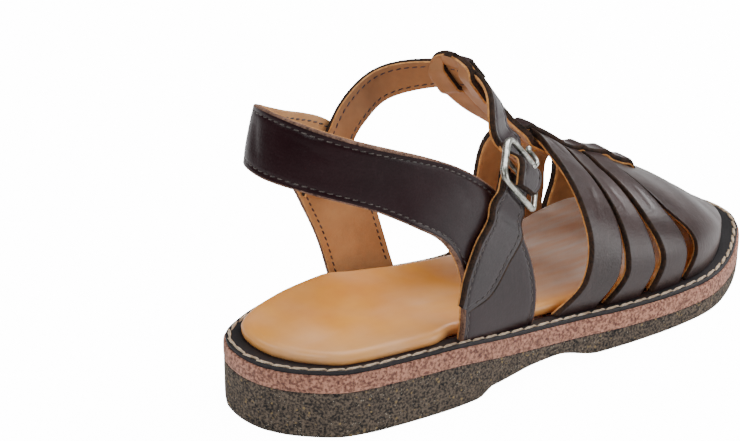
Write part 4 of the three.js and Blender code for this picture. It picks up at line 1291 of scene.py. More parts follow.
@dataclass
class Sole:
    """Outsole, midsole, rand, insole and the welt seam."""

    plan: SolePlan
    shop: Workshop
    palette: Palette
    midsole_thickness: float = 5.8
    rand_setback: float = 0.7
    rand_allowance: float = 1.8
    insole_thickness: float = 5.0
    insole_round: float = 1.6
    bottom_round: float = 0.8
    strap_room: float = 3.2
    toe_room: float = 5.4
    seam_inset: float = 1.2
    seam_sink: float = 0.2
    groove: tuple[tuple[float, float], ...] = (
        (0.75, 0.02), (0.95, -0.22), (1.2, -0.34), (1.45, -0.22), (1.65, 0.02), (1.9, 0.0))
    stations: int = 180
    columns: int = 22

    def _loft(self, rings: Sequence[Ring], crown: Callable[[Array, Array], Array] | None = None,
              capped: bool = True) -> Shell:
        """Returns the surface through the rings, with its ends closed.

        Args:
            rings: from the lowest to the last one.
            crown: raises the last cap by share across and y.
            capped: whether both ends are closed.
        """
        eased = eased_steps(self.stations)
        eased = mix(eased, eased ** 2 * (3 - 2 * eased), 0.35)
        blocks, sides = [], []
        for ring in rings:
            edge = Sides(self.plan, ring.inset)
            y = mix(edge.start, edge.end, eased)
            blocks.append(edge.ring(y, ring.height(y)))
            sides.append((edge, y, ring.height(y)))
        number = np.arange(sum(len(block) for block in blocks)).reshape(len(rings), -1)
        shell = Shell()
        shell.add(np.concatenate(blocks), ring_faces(number), 0)
        if capped:
            self._cap(shell, *sides[0], None, True)
            self._cap(shell, *sides[-1], crown, False)
        return shell

    def _cap(self, shell: Shell, edge: Sides, y: Array, z: Array,
             crown: Callable[[Array, Array], Array] | None, under: bool) -> None:
        """Adds a sheet across a ring."""
        share = np.linspace(0, 1, self.columns + 1)
        x = mix(edge.outer(y)[:, None], edge.inner(y)[:, None], share[None, :])
        height = np.broadcast_to(z[:, None], x.shape)
        if crown is not None:
            height = height + crown(share[None, :], y[:, None])
        points = np.stack([x, np.broadcast_to(y[:, None], x.shape), height], -1).reshape(-1, 3)
        number = np.arange(points.shape[0]).reshape(x.shape)
        quads = np.stack([number[:-1, :-1], number[1:, :-1], number[1:, 1:], number[:-1, 1:]], -1)
        faces = [tuple(q if under else q[::-1]) for q in quads.reshape(-1, 4).tolist()]
        shell.add(points, faces, 0)

    def outsole(self) -> bpy.types.Object:
        """Makes the crepe wedge with its heel breast, arch and toe spring."""
        def top(y: Array) -> Array:
            return self.plan.top(y) - self.midsole_thickness - 0.02
        def between(share: float) -> Along:
            return lambda y: mix(self.plan.tread(y), top(y), share)
        r = self.bottom_round
        rings = [Ring(r * 2.2, self.plan.tread), Ring(r * 1.3, self.plan.tread),
                 Ring(r * 0.7, between(0.015)), Ring(r * 0.28, between(0.05)),
                 Ring(0.10, between(0.11)), Ring(0.02, between(0.2)),
                 *[Ring(0.03 * math.sin(k * 1.9), between(0.2 + 0.095 * k)) for k in range(1, 8)],
                 Ring(0.0, between(0.95)), Ring(0.10, top)]
        return self.shop.make("outsole_crepe", self._loft(rings), [self.palette.outsole], "outsole",
                              "outsole", weld=0.01)

    def midsole(self) -> bpy.types.Object:
        """Makes the buffed leather layer."""
        thickness = self.midsole_thickness
        def at(share: float) -> Along:
            return lambda y: self.plan.top(y) - thickness * (1 - share)
        rings = [Ring(0.22, at(0.0)), Ring(0.05, at(0.05)), Ring(-0.08, at(0.2)),
                 Ring(-0.12, at(0.5)), Ring(-0.08, at(0.8)), Ring(0.02, at(0.93)),
                 Ring(0.25, at(0.99)), Ring(0.7, at(1.0))]
        return self.shop.make("midsole_layer", self._loft(rings), [self.palette.midsole], "midsole",
                              "midsole", weld=0.01)

    def _welt_line(self, inset: float, height: float) -> Curve:
        """Returns the closed line round the rand at an inset from the outline."""
        edge = Sides(self.plan, inset)
        y = mix(edge.start, edge.end, eased_steps(150))
        z = self.plan.top(y) + self.plan.rand_thickness + height
        return Curve(edge.ring(y, z), closed=True)

    def rand(self) -> bpy.types.Object:
        """Makes the dark welt with the seam's groove."""
        plan = self.plan
        back = self.rand_setback
        def at(height: float) -> Along:
            return lambda y: plan.top(y) + height
        top = plan.rand_thickness
        def inner(y: Array) -> Array:
            return plan.flange(y) + self.rand_allowance
        def between(share: float) -> Along:
            return lambda y: mix(back + self.groove[-1][0], inner(y), share)
        rings = [Ring(back + 0.05, at(0.0)), Ring(back, at(top * 0.3)), Ring(back, at(top * 0.75)),
                 Ring(back + 0.1, at(top * 0.95)), Ring(back + 0.35, at(top)),
                 *[Ring(back + inset, at(top + rise)) for inset, rise in self.groove],
                 Ring(between(0.5), at(top)), Ring(between(1.0), at(top)), Ring(between(1.0), at(0.0))]
        shell = self._loft(rings, capped=False)
        return self.shop.make("rand_welt", shell, [self.palette.rand], "rand", "rand")

    def welt_seam(self) -> bpy.types.Object:
        """Makes the twisted cream stitches all round the welt."""
        seam = Seam(pitch=5.4, length=6.3, thread=0.46, slant=7.0, plies=2, lift=0.24, rings=18,
                    around=12)
        line = self._welt_line(self.rand_setback + self.seam_inset, -self.seam_sink)
        count = int(line.lengths[-1] / seam.pitch)
        u = line.parameter((np.arange(count) + 0.5) / count)
        points = line.at(u)
        side = np.cross(line.tangent(u), np.array([0.0, 0.0, 1.0]))
        normals = unit(np.cross(side, line.tangent(u)))
        shell = seam.sew(points, normals)
        return self.shop.make("welt_seam", shell, [self.palette.welt_thread], "rand", "rand")

    def insole(self) -> bpy.types.Object:
        """Makes the smooth footbed with its rounded rim."""
        plan = self.plan
        def room(y: Array) -> Array:
            along = y / plan.length
            return (self.strap_room * smooth(0.235, 0.29, along)
                    + self.toe_room * smooth(0.78, 0.93, along))
        def edge(extra: float) -> Along:
            return lambda y: plan.flange(y) + room(y) + extra
        def at(height: float) -> Along:
            return lambda y: plan.top(y) + height
        def crown(share: Array, y: Array) -> Array:
            bowl = 1 - (2 * share - 1) ** 2
            heel = hump(y, 30.0, 34.0)
            ball = hump(y, 138.0, 30.0)
            ease = smooth(0, 12, y - 6) * smooth(0, 16, 196 - y)
            return -bowl * ease * (0.55 * heel + 0.35 * ball)
        top, soft = self.insole_thickness, self.insole_round
        foot = plan.rand_thickness + 0.05
        rings = [Ring(edge(0.6), at(foot - 0.3)), Ring(edge(0.25), at(foot + 0.05)),
                 Ring(edge(0.0), at(foot + 0.6)), Ring(edge(-0.05), at(mix(foot, top, 0.45))),
                 Ring(edge(0.05), at(top - soft * 0.95)), Ring(edge(soft * 0.22), at(top - soft * 0.55)),
                 Ring(edge(soft * 0.6), at(top - soft * 0.22)), Ring(edge(soft * 1.15), at(top - 0.06)),
                 Ring(edge(soft * 1.8), at(top))]
        shell = self._loft(rings, crown)
        return self.shop.make("insole_footbed", shell, [self.palette.insole], "insole", "insole",
                              weld=0.01)


# The upper


class EdgeTable:
    """A strap's edge over the foot, by angle from the outer side."""

    angles = (0.0, 20.0, 46.0, 90.0)

    def __init__(self, foot: float, side: float, shoulder: float, ridge: float) -> None:
        """Lays the edge through its four places, as shares of the sole's length.

        Args:
            foot: place at the sole.
            side: place low on the side.
            shoulder: place at the shoulder.
            ridge: place on the ridge.
        """
        self.foot = foot
        self.curve = Profile(*zip(self.angles, (foot, side, shoulder, ridge)))

    def y(self, degrees: Array, length: float) -> Array:
        """Returns the edge's y at angles in degrees."""
        turned = np.minimum(np.abs(degrees), 180 - np.abs(degrees))
        return self.curve(turned) * length


@dataclass
class Vamp:
    """Three straps, the closed toe and the T-bar woven through them."""

    last: Last
    shop: Workshop
    palette: Palette
    tbar_width: float = 15.0
    paddle_width: float = 22.0
    bridge_width: float = 6.5
    weave_rise: float = 2.4
    weave_sink: float = 1.0
    foot_dip: float = -8.0
    strap_rows: tuple[tuple[str, EdgeTable, EdgeTable], ...] = (
        ("rear", EdgeTable(0.485, 0.540, 0.560, 0.565), EdgeTable(0.560, 0.603, 0.620, 0.6225)),
        ("middle", EdgeTable(0.5825, 0.621, 0.6275, 0.630), EdgeTable(0.6475, 0.675, 0.674, 0.6725)),
        ("front", EdgeTable(0.6725, 0.694, 0.684, 0.682), EdgeTable(0.735, 0.746, 0.732, 0.726)))
    toe_rear: EdgeTable = field(default_factory=lambda: EdgeTable(0.7525, 0.7775, 0.747, 0.7365))
    path_rows: tuple[tuple[float, float], ...] = (
        (0.810, 0.40), (0.770, 0.47), (0.704, 0.56), (0.651, 0.64), (0.593, 0.75), (0.548, 0.82),
        (0.495, 0.88), (0.450, 0.98), (0.420, 1.07), (0.401, 1.145))
    crossings: tuple[tuple[float, float, float], ...] = (
        (0.593, 0.034, 1.12), (0.651, 0.026, 1.0), (0.704, 0.026, 1.0), (0.765, 0.030, 0.95))
    ramp: float = 0.022
    margin_ramp: float = 2.3
    ankle_crossing: tuple[float, float, float, float, float] = (1.045, 0.043, 0.017, 1.36, 1.75)
    lifts: tuple[float, ...] = (0.677, 0.731, 0.787)
    lift_rise: float = 0.32
    lift_reach: float = 0.011
    across: float = -0.055

    def __post_init__(self) -> None:
        """Lays out the T-bar's centre line."""
        plan, last = self.last.plan, self.last
        self.hide = Hide(wall=last.leather, middle=8)
        self.tbar_hide = Hide(wall=2.2, lining=0.7, middle=4)
        self.line = Curve([(self.across * plan.ball_width, a * plan.length, u * last.collar_height)
                           for a, u in self.path_rows])

    def _weave(self, points: Array) -> Array:
        """Returns how far a strap rises over the T-bar's margins."""
        plan = self.last.plan
        ridge = self.last.swing(points[:, 1] / plan.length) * plan.ball_width
        off = np.abs(points[:, 0] - ridge)
        half = self.tbar_width / 2
        return (self.weave_sink * smooth(self.bridge_width * 0.35, self.bridge_width * 0.6, off)
                * (1 - smooth(half * 0.9, half * 1.9, off)))

    def strap(self, rear: EdgeTable, front: EdgeTable, creases: tuple[Crease, ...]) -> Strap:
        """Returns the strap between two edges."""
        last, length = self.last, self.last.plan.length
        def surface(t: Array, v: Array, h: Array) -> Array:
            angle = mix(self.foot_dip, 180 - self.foot_dip, t)
            y = mix(rear.y(angle, length), front.y(angle, length), v)
            turn = np.radians(angle)
            lift = self._weave(last.section(y, turn, 0.0))
            return last.grounded(last.section(y, turn, lift + h))
        return Strap(surface, self.hide, rows=210, creases=creases)

    def toe_piece(self) -> Strap:
        """Returns the closed toe, seen from the toe hub."""
        last, length = self.last, self.last.plan.length
        foot_y = self.toe_rear.foot * length
        hub = last.hub(np.array(length))
        def bearing(x: float) -> float:
            return math.atan2(foot_y - hub[1], x - hub[0])
        outer = bearing(float(last.feather.outer(foot_y)))
        inner = bearing(float(last.feather.inner(foot_y))) + 2 * math.pi
        dip = math.tan(math.radians(self.foot_dip))
        def surface(t: Array, v: Array, h: Array) -> Array:
            angle = mix(self.foot_dip, 180 - self.foot_dip, t)
            rear = last.section(self.toe_rear.y(angle, length), np.radians(angle), 0.0)
            turn = mix(outer, inner, t)
            way = np.stack([np.cos(turn), np.sin(turn), np.full_like(turn, dip)], -1)
            base = last.cast(np.broadcast_to(hub, way.shape), way, 0.0)
            chord = mix(rear, base, v[..., None]) - hub
            return last.grounded(last.cast(np.broadcast_to(hub, chord.shape), chord, h))
        hide = Hide(wall=last.leather, middle=44)
        return Strap(surface, hide, rows=220)

    def _crossing(self, centre: Array) -> tuple[Array, Array]:
        """Returns how far the bridge rises and the margins sink, in millimetres."""
        along, up = centre[:, 1] / self.last.plan.length, centre[:, 2] / self.last.collar_height
        place, half, ramp, rise, sink = self.ankle_crossing
        off = np.abs(up - place)
        high, deep = (1 - smooth(half, half + reach, off) for reach in (ramp, self.margin_ramp * ramp))
        low = np.zeros_like(along)
        for at, reach, lift in self.crossings:
            low = np.maximum(low, lift * (1 - smooth(reach, reach + self.ramp, np.abs(along - at))))
        swell = self.lift_rise * sum(hump(along, at, self.lift_reach) for at in self.lifts)
        top = up > 0.9
        return (np.where(top, rise * high, low + swell) * self.weave_rise,
                np.where(top, sink * deep, np.minimum(low, 1)) * self.weave_sink)

    def _half_width(self, t: Array) -> Array:
        """Returns half the T-bar's width, with its rounded ends."""
        wide = mix(self.tbar_width, self.paddle_width, smooth(0.62, 0.86, t)) / 2
        top = np.sqrt(np.clip(1 - ((np.maximum(t, 0.90) - 0.90) / 0.10) ** 2, 0.02, 1))
        end = np.sqrt(np.clip(1 - ((0.05 - np.minimum(t, 0.05)) / 0.06) ** 2, 0.1, 1))
        return wide * top * end

    def tbar_strip(self, low: float, high: float, is_bridge: bool) -> Strap:
        """Returns one lengthwise strip of the T-bar.

        Args:
            low: its first side, in millimetres from the centre line.
            high: its other side.
            is_bridge: whether it rises over the straps, or else sinks under them.
        """
        last = self.last
        def surface(t: Array, v: Array, h: Array) -> Array:
            u = self.line.parameter(t)
            centre = last.settle(self.line.at(u), 0.0)
            way = self.line.tangent(u)
            side = unit(np.cross(way, last.normal(centre)))
            half = self._half_width(t)
            reach = np.clip(mix(low, high, v), -half, half)
            rise, sink = self._crossing(centre)
            base = rise if is_bridge else -sink
            skived = mix(0.25, 1.0, smooth(0.0, 0.07, t))
            return last.settle(centre + side * reach[:, None], base + h * skived)
        return Strap(surface, self.tbar_hide, rows=230)

    def build(self) -> None:
        """Makes the vamp's pieces."""
        walls = self.palette.wall(self.palette.vamp)
        creases = {
            "rear": (Crease((34, -1), (47, 1.5), 0.22, 1.1), Crease((58, 2), (66, -2), 0.16, 0.9),
                     Crease((88, -2), (99, 1), 0.2, 1.2)),
            "middle": (Crease((30, 1), (43, -1), 0.18, 1.0), Crease((76, 0), (88, 2), 0.16, 1.0)),
            "front": (Crease((28, 0), (40, 1), 0.16, 1.0), Crease((70, -1), (80, 1), 0.14, 1.0))}
        for name, rear, front in self.strap_rows:
            shell = self.strap(rear, front, creases[name]).shell()
            self.shop.make(f"vamp_strap_{name}", shell, walls, "vamp_straps", "upper")
        self.shop.make("toe_piece", self.toe_piece().shell(), walls, "vamp_straps", "upper")
        slit, half = self.bridge_width / 2, self.paddle_width / 2
        # The T-bar takes the darker lining, which is painted shade.
        shaded_walls = self.palette.wall(self.palette.vamp, in_shade=True)
        strips = (("bridge", -slit, slit, True), ("margin_outer", slit, half, False),
                  ("margin_inner", -half, -slit, False))
        for name, low, high, is_bridge in strips:
            strip = self.tbar_strip(low, high, is_bridge)
            self.shop.make(f"tbar_{name}", strip.shell(), shaded_walls, "vamp_straps", "upper")


@dataclass
class HeelStrap:
    """Strap round the heel with both quarter legs."""

    last: Last
    shop: Workshop
    palette: Palette
    rows: tuple[tuple[float, float, float, float, float, float], ...] = (
        (0.64, 0.285, 0.18, 0.62, 0.435, 0.14), (0.65, 0.288, 0.35, 0.63, 0.440, 0.35),
        (0.63, 0.288, 0.52, 0.60, 0.425, 0.53), (0.60, 0.262, 0.655, 0.57, 0.380, 0.755),
        (0.56, 0.205, 0.76, 0.54, 0.300, 0.915), (0.47, 0.135, 0.86, 0.48, 0.190, 1.045),
        (0.26, 0.062, 0.935, 0.28, 0.092, 1.145), (0.00, 0.030, 0.955, 0.00, 0.060, 1.175),
        (-0.26, 0.062, 0.93, -0.28, 0.088, 1.135), (-0.46, 0.130, 0.83, -0.46, 0.170, 1.02),
        (-0.53, 0.190, 0.70, -0.52, 0.262, 0.91), (-0.55, 0.225, 0.55, -0.54, 0.325, 0.73),
        (-0.56, 0.252, 0.40, -0.54, 0.355, 0.50), (-0.54, 0.275, 0.20, -0.50, 0.393, 0.17))

    def __post_init__(self) -> None:
        """Lays out both edges and the wall."""
        last = self.last
        table = np.array(self.rows)
        low, high = Curve(table[:, :3] * last.scale), Curve(table[:, 3:] * last.scale)
        def surface(t: Array, v: Array, h: Array) -> Array:
            guide = mix(low.at(t), high.at(t), v[..., None])
            return last.grounded(last.settle(guide, h))
        creases = (Crease((118, -6), (124, 6), 0.35, 2.2), Crease((97, 2), (112, 5), 0.18, 1.4),
                   Crease((70, -5), (84, 1), 0.2, 1.6), Crease((150, -7), (158, 6), 0.3, 2.0),
                   Crease((48, 2), (60, 8), 0.16, 1.4))
        self.strap = Strap(surface, Hide(wall=last.leather, channel=0.22, middle=14), rows=420,
                           creases=creases)

    def build(self) -> None:
        """Makes the strap and its two rows of stitches."""
        walls = self.palette.wall(self.palette.heel)
        walls[Zone.RAW.value] = self.palette.heel_raw
        self.shop.make("heel_quarter_strap", self.strap.shell(), walls, "heel_strap", "upper")
        seam = Seam(pitch=2.55, length=2.15, thread=0.27)
        rows = [seam.sew(*self.strap.line(1.9, high, seam.pitch, 0.015, 0.985, is_lining))
                for high in (False, True) for is_lining in (False, True)]
        self.shop.make("heel_strap_seams", joined(*rows), [self.palette.dark_thread], "heel_strap",
                       "upper")


class BucklePlace:
    """The buckle's own frame: across its bars, along to the far bar, and out from the foot."""

    seat = (0.649, 0.3905, 0.7718)

    def __init__(self, last: Last, level: float = 7.95, turn: float = -53.0, tilt: float = 21.0) -> None:
        """Works out the frame's three directions.

        Args:
            last: the last that it lies on.
            level: height of the near bar outside the last.
            turn: the bars' turn from level, in degrees.
            tilt: the frame's tilt to the last, in degrees.
        """
        seat = np.array(self.seat) * last.scale
        self.origin = last.settle(seat[None], level)[0]
        outward = last.normal(self.origin[None])[0]
        flat = unit(np.array([-outward[1], outward[0], 0.0]))
        across = Matrix.Rotation(math.radians(turn), 3, Vector(outward)) @ Vector(flat)
        along = Vector(outward).cross(across)
        along = Matrix.Rotation(-math.radians(tilt), 3, across) @ along
        self.across, self.along = np.array(across), np.array(along)
        self.out = np.array(across.cross(along))

    def at(self, across: Array, along: Array, out: Array) -> Array:
        """Returns points given in the buckle's frame."""
        across, along, out = (np.asarray(a, float)[..., None] for a in (across, along, out))
        return self.origin + across * self.across + along * self.along + out * self.out


@dataclass
class LaidStrip:
    """Strip between two edges, on the last or free of it.

    heights and free hold a value for each row: the height outside the last, and 0 on the last or
    1 free of it. away is the outward direction where it is free.
    """

    last: Last
    low: Array
    high: Array
    heights: Sequence[float]
    free: Sequence[float]
    away: Array

    def surface(self, t: Array, v: Array, h: Array) -> Array:
        """Returns the strip's points at height h above its underside."""
        places = np.linspace(0, 1, len(self.heights))
        height = Profile(*zip(places, self.heights))(t)
        free = Profile(*zip(places, self.free))(t)[..., None]
        guide = mix(Curve(self.low).at(t), Curve(self.high).at(t), v[..., None])
        base = mix(self.last.settle(guide, height), guide, free)
        outward = unit(mix(self.last.normal(base), self.away, free))
        return base + outward * h[..., None]


@dataclass
class AnkleStrap:
    """Strap from the inner leg over the instep, under the T-bar's bridge and into the buckle."""

    last: Last
    shop: Workshop
    palette: Palette
    buckle: BucklePlace
    width: float = 11.5
    rows: tuple[tuple[float, float, float, float], ...] = (
        (-0.49, 0.232, 0.625, -2.65), (-0.50, 0.262, 0.795, -2.65), (-0.49, 0.298, 0.925, -2.3),
        (-0.44, 0.358, 1.000, 0.6), (-0.27, 0.410, 1.018, 0.6), (-0.05, 0.427, 1.020, 0.6),
        (0.17, 0.424, 1.015, 0.6), (0.33, 0.415, 0.985, 0.6))
    end_rows: tuple[tuple[float, float, float, float], ...] = (
        (-2.6, 17.6, -3.9, 1), (-2.3, 15.2, -3.9, 1), (-1.9, 13.4, -3.3, 1), (-1.5, 11.4, -0.9, 1),
        (-1.0, 9.3, 1.9, 1), (-0.5, 6.9, 2.5, 1), (0.3, 3.6, 1.9, 0.97), (0.8, 1.5, 1.0, 0.8))

    def __post_init__(self) -> None:
        """Lays out the strap's edges."""
        last = self.last
        laid = np.array(self.rows)
        centres = last.settle(laid[:, :3] * last.scale, laid[:, 3])
        end = np.array(self.end_rows)
        path = np.vstack([centres, self.buckle.at(end[:, 0], end[:, 1], end[:, 2])])
        free = [0.0] * len(laid) + [1.0] * len(end)
        heights = [*laid[:, 3], *end[:, 2]]
        wide = np.array([1.0] * len(laid) + list(end[:, 3]))[:, None]
        way = np.vstack([path[1:], path[-1:]]) - np.vstack([path[:1], path[:-1]])
        outward = np.vstack([last.normal(centres), np.tile(self.buckle.out, (len(end), 1))])
        reach = unit(np.cross(outward, way)) * self.width / 2 * wide
        strip = LaidStrip(last, path - reach, path + reach, heights, free, self.buckle.out)
        self.strap = Strap(strip.surface, Hide(wall=2.2, lining=0.7, channel=0.2, middle=6, bevel=0.8),
                           rows=300, creases=(Crease((24, 0), (30, 3), 0.15, 1.0),))

    def build(self) -> None:
        """Makes the strap and its stitches."""
        # The ankle strap takes the darker lining, which is painted shade.
        walls = self.palette.wall(self.palette.ankle, in_shade=True)
        self.shop.make("ankle_strap_leather", self.strap.shell(), walls, "ankle_strap", "upper")
        seam = Seam(pitch=2.5, length=2.1, thread=0.24)
        rows = [seam.sew(*self.strap.line(1.8, high, seam.pitch, 0.02, 0.97, is_lining))
                for high in (False, True) for is_lining in (False, True)]
        self.shop.make("ankle_strap_seams", joined(*rows), [self.palette.dark_thread], "ankle_strap",
                       "upper")


@dataclass
class BuckleStrap:
    """Outer strap with a free pointed lower end; its upper end runs under the buckle's frame up to the
    middle bar.
    """

    last: Last
    shop: Workshop
    palette: Palette
    buckle: BucklePlace
    rows: tuple[tuple[float, float, float, float, float, float], ...] = (
        (0.66, 0.272, 0.42, 0.66, 0.288, 0.39), (0.65, 0.283, 0.52, 0.66, 0.330, 0.415),
        (0.62, 0.310, 0.63, 0.64, 0.372, 0.51), (0.60, 0.340, 0.70, 0.62, 0.405, 0.585))
    end_rows: tuple[tuple[float, float, float, float], ...] = (
        (-1.5, -4.0, -5.6, 7.9), (1.5, -3.7, -5.7, 7.2), (6.0, -2.9, -5.8, 6.8))

    def __post_init__(self) -> None:
        """Lays out the strap's edges."""
        last = self.last
        laid, end = np.array(self.rows), np.array(self.end_rows)
        low = np.vstack([laid[:, :3] * last.scale, self.buckle.at(end[:, 2], end[:, 0], end[:, 1])])
        high = np.vstack([laid[:, 3:] * last.scale, self.buckle.at(end[:, 3], end[:, 0], end[:, 1])])
        strip = LaidStrip(last, low, high, [last.leather + 0.45] * len(laid) + [0.0] * len(end),
                          [0.0] * len(laid) + [1.0] * len(end), self.buckle.out)
        hide = Hide(wall=2.2, lining=0.7, channel=0.28, channel_inset=2.3, middle=8, bevel=1.05)
        self.strap = Strap(strip.surface, hide, rows=170)

    def build(self) -> None:
        """Makes the strap and its stitches."""
        walls = self.palette.wall(self.palette.ankle)
        self.shop.make("buckle_strap_leather", self.strap.shell(), walls, "buckle_strap", "upper")
        seam = Seam(pitch=2.4, length=1.95, thread=0.34)
        rows = [seam.sew(*self.strap.line(2.3, high, seam.pitch, 0.07, 0.98)) for high in (False, True)]
        self.shop.make("buckle_strap_seams", joined(*rows), [self.palette.dark_thread],
                       "buckle_strap", "upper")


@dataclass
class Buckle:
    """Wire frame with a middle bar and a prong."""

    shop: Workshop
    palette: Palette
    place: BucklePlace
    width: float = 18.2
    depth: float = 15.5
    wire: float = 1.9
    near_corner: float = 1.5
    soft_corner: float = 3.0
    far_corner: float = 4.4
    bar: float = 1.4
    bar_along: float = 7.0
    prong: float = 1.3
    prong_rows: tuple[tuple[float, float], ...] = (
        (7.3, -1.75), (5.9, -1.35), (5.25, 0), (5.75, 1.3), (7.3, 2.1), (8.3, 3.6), (9.3, 5.3),
        (11.0, 5.1), (13.6, 3.6), (15.5, 2.1), (17.0, 1.9))
    around: int = 16
    corner_steps: int = 12
    ring_points: int = 160
    bar_points: int = 12
    prong_points: int = 80

    def _tube(self, path: Array, normal: Array, wide: Array, thick: Array, closed: bool) -> Shell:
        """Returns a tube of an oval section along points of the buckle's frame."""
        count, around = len(path), self.around
        if closed:
            way = unit(np.roll(path, -1, 0) - np.roll(path, 1, 0))
        else:
            way = unit(np.gradient(path, axis=0))
        side = unit(np.cross(way, normal))
        up = unit(np.cross(side, way))
        turn = np.linspace(0, 2 * np.pi, around, endpoint=False)
        ring = (path[:, None] + side[:, None] * (np.cos(turn)[None, :, None] * wide[:, None, None])
                + up[:, None] * (np.sin(turn)[None, :, None] * thick[:, None, None]))
        number = np.arange(count * around).reshape(count, around)
        if closed:
            number = np.vstack([number, number[:1]])
        faces = ring_faces(number)
        if not closed:
            faces += [tuple(reversed(number[0].tolist())), tuple(number[-1].tolist())]
        flat = ring.reshape(-1, 3)
        shell = Shell()
        shell.add(self.place.at(flat[:, 0], flat[:, 1], flat[:, 2]), faces, 0)
        return shell

    def _outline(self) -> Array:
        """Returns the frame's centre line."""
        half, near, soft, far = self.width / 2, self.near_corner, self.soft_corner, self.far_corner
        corners = ((half - near, near, near, -90), (half - far, self.depth - far, far, 0),
                   (-half + far, self.depth - far, far, 90), (-half + soft, soft, soft, 180))
        points: list[tuple[float, float]] = []
        for x, y, radius, start in corners:
            for step in range(self.corner_steps + 1):
                angle = math.radians(start + 90 * step / self.corner_steps)
                points.append((x + radius * math.cos(angle), y + radius * math.sin(angle)))
        ring = np.array([*points, points[0]])
        lengths = running_length(ring)
        places = np.linspace(0, lengths[-1], self.ring_points, endpoint=False)
        flat = np.stack([np.interp(places, lengths, ring[:, k]) for k in (0, 1)], 1)
        return np.concatenate([flat, np.zeros((len(flat), 1))], 1)

    def build(self) -> None:
        """Makes the frame and the prong."""
        ring = self._outline()
        left = smooth(-self.width / 2 + 2.5, -self.width / 2, ring[:, 0])
        radius = self.wire / 2 * (1 + 0.25 * left)
        out = np.tile([0.0, 0.0, 1.0], (len(ring), 1))
        frame = self._tube(ring, out, radius * 1.02, radius * 0.95, True)
        x = np.linspace(-self.width / 2, self.width / 2, self.bar_points)
        bar = np.stack([x, np.full_like(x, self.bar_along), np.zeros_like(x)], 1)
        half = np.full_like(x, self.bar / 2)
        middle = self._tube(bar, out[:self.bar_points], half, half, False)
        self.shop.make("buckle_wire", joined(frame, middle), [self.palette.metal], "buckle_frame",
                       "metal")
        share = np.linspace(0, 1, self.prong_points)
        line = Curve([(0.0, along, rise) for along, rise in self.prong_rows]).along(share)
        thick = self.prong / 2 * (1 + 0.35 * smooth(0.88, 0.97, share)) * np.sqrt(
            np.clip(1 - ((np.maximum(share, 0.985) - 0.985) / 0.015) ** 2, 0.05, 1))
        side = np.tile([1.0, 0.0, 0.0], (len(share), 1))
        self.shop.make("buckle_prong_wire", self._tube(line, side, thick, thick, False),
                       [self.palette.metal], "buckle_prong", "metal")


# The studio


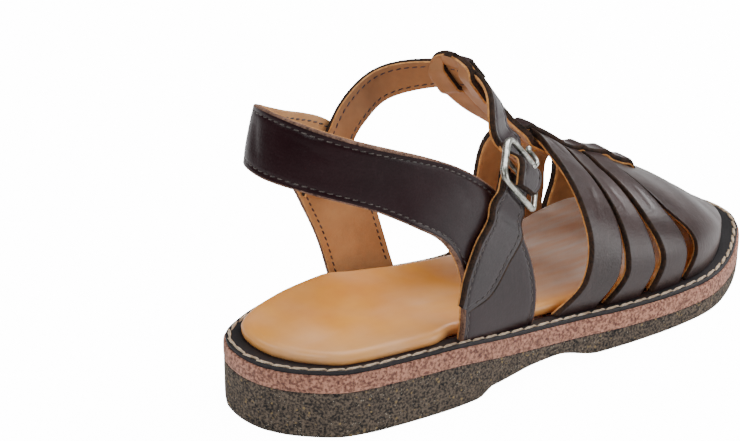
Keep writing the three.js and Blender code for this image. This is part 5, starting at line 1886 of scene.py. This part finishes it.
@dataclass
class Studio:
    """Camera, floor and soft light.

    focal and aim are in pixels of the picture, and clip is the camera's range in metres. sky has
    the two heights between which the world brightens and its strength at each. Each lamp has a
    name, a place and a size in metres, and a power in watts.
    """

    shop: Workshop
    azimuth: float = 47.071
    elevation: float = 26.566
    distance: float = 792.85
    roll: float = 1.461
    focal: float = 2510.568
    aim: tuple[float, float] = (-128.114, 18.17)
    target: tuple[float, float, float] = (0.0, 100.0, 30.0)
    picture_width: float = 740.0
    sensor: float = 36.0
    clip: tuple[float, float] = (0.05, 20.0)
    sky: tuple[float, float, float, float] = (0.12, 0.60, 0.05, 1.3)
    floor_reach: float = 6.0
    floor_glow: float = 0.35
    floor_white: float = 14.0
    lamps: tuple[tuple[str, tuple[float, float, float], float, float], ...] = (
        ("overhead", (-0.1, 0.3, 1.3), 0.9, 12.0), ("front", (0.05, 0.9, 0.85), 0.55, 10.0),
        ("rear_left", (-0.55, -0.75, 0.85), 0.4, 4.0), ("front_right", (0.85, 0.62, 0.22), 0.6, 5.0),
        ("rear_right", (0.35, -0.95, 0.75), 0.3, 4.0))
    lamp_aim: tuple[float, float, float] = (0.0, 0.0, 0.04)

    def camera(self) -> None:
        """Places the camera as the photograph was taken."""
        az, el = math.radians(self.azimuth), math.radians(self.elevation)
        back = np.array([math.sin(az) * math.cos(el), -math.cos(az) * math.cos(el), math.sin(el)])
        place = np.array(self.target) + back * self.distance
        ahead = -back
        right = unit(np.cross(ahead, [0.0, 0.0, 1.0]))
        up = np.cross(right, ahead)
        roll = math.radians(self.roll)
        right, up = (right * math.cos(roll) + up * math.sin(roll),
                     up * math.cos(roll) - right * math.sin(roll))
        ahead = unit(ahead + right * self.aim[0] / self.focal + up * self.aim[1] / self.focal)
        right = unit(np.cross(ahead, up))
        up = np.cross(right, ahead)
        data = bpy.data.cameras.new("camera")
        data.sensor_width = self.sensor
        data.lens = self.focal / self.picture_width * self.sensor
        data.clip_start, data.clip_end = self.clip
        camera = bpy.data.objects.new("camera", data)
        bpy.context.collection.objects.link(camera)
        turn = Matrix((right, up, -ahead)).transposed().to_4x4()
        camera.matrix_world = Matrix.Translation(self.shop.place(place)) @ turn
        bpy.context.scene.camera = camera

    def floor(self) -> None:
        """Makes the pale floor."""
        mesh = bpy.data.meshes.new("floor")
        reach = self.floor_reach
        mesh.from_pydata([(-reach, -reach, 0), (reach, -reach, 0), (reach, reach, 0), (-reach, reach, 0)],
                         [], [(0, 1, 2, 3)])
        floor = bpy.data.objects.new("floor", mesh)
        bpy.context.collection.objects.link(floor)
        material = bpy.data.materials.new("floor_paper")
        material.use_nodes = True
        shader = material.node_tree.nodes["Principled BSDF"]
        paper = {"Base Color": (0.8, 0.8, 0.8, 1), "Roughness": 0.9, "Specular IOR Level": 0.1,
                 "Emission Color": (1, 1, 1, 1)}
        for label, value in paper.items():
            shader.inputs[label].default_value = value
        nodes = Nodes(material.node_tree)
        seen = nodes.add("ShaderNodeLightPath").outputs["Is Camera Ray"]
        nodes.link(nodes.span(seen, 0, 1, self.floor_glow, self.floor_white),
                   shader.inputs["Emission Strength"])
        mesh.materials.append(material)

    def _lamp(self, name: str, place: tuple[float, float, float], size: float,
              power: float) -> None:
        """Adds a soft square lamp aimed at the shoe."""
        data = bpy.data.lights.new(name, "AREA")
        data.size, data.energy = size, power
        lamp = bpy.data.objects.new(name, data)
        bpy.context.collection.objects.link(lamp)
        lamp.location = place
        way = Vector(self.lamp_aim) - Vector(place)
        lamp.rotation_mode = "QUATERNION"
        lamp.rotation_quaternion = way.to_track_quat("-Z", "Y")

    def light(self) -> None:
        """Adds the world's light and the lamps."""
        world = bpy.data.worlds.new("studio")
        world.use_nodes = True
        shade = world.node_tree.nodes["Background"]
        nodes = Nodes(world.node_tree)
        height = nodes.separate(nodes.add("ShaderNodeTexCoord").outputs["Generated"], "Z")
        nodes.link(nodes.span(height, *self.sky), shade.inputs["Strength"])
        bpy.context.scene.world = world
        for name, place, size, power in self.lamps:
            self._lamp(name, place, size, power)


def main() -> None:
    logging.basicConfig(level=logging.INFO, format="%(name)s %(message)s")
    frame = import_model()
    LOG.info("frame with %d nodes", len(frame["nodes"]))
    plan = SolePlan()
    shop = Workshop(plan)
    studio = Studio(shop)
    studio.camera()
    studio.floor()
    studio.light()
    palette = Palette()
    sole = Sole(plan, shop, palette)
    for make in (sole.outsole, sole.midsole, sole.rand, sole.welt_seam, sole.insole):
        make()
    last = Last(plan)
    Vamp(last, shop, palette).build()
    HeelStrap(last, shop, palette).build()
    place = BucklePlace(last)
    AnkleStrap(last, shop, palette, place).build()
    BuckleStrap(last, shop, palette, place).build()
    Buckle(shop, palette, place).build()


if __name__ == "__main__":
    main()
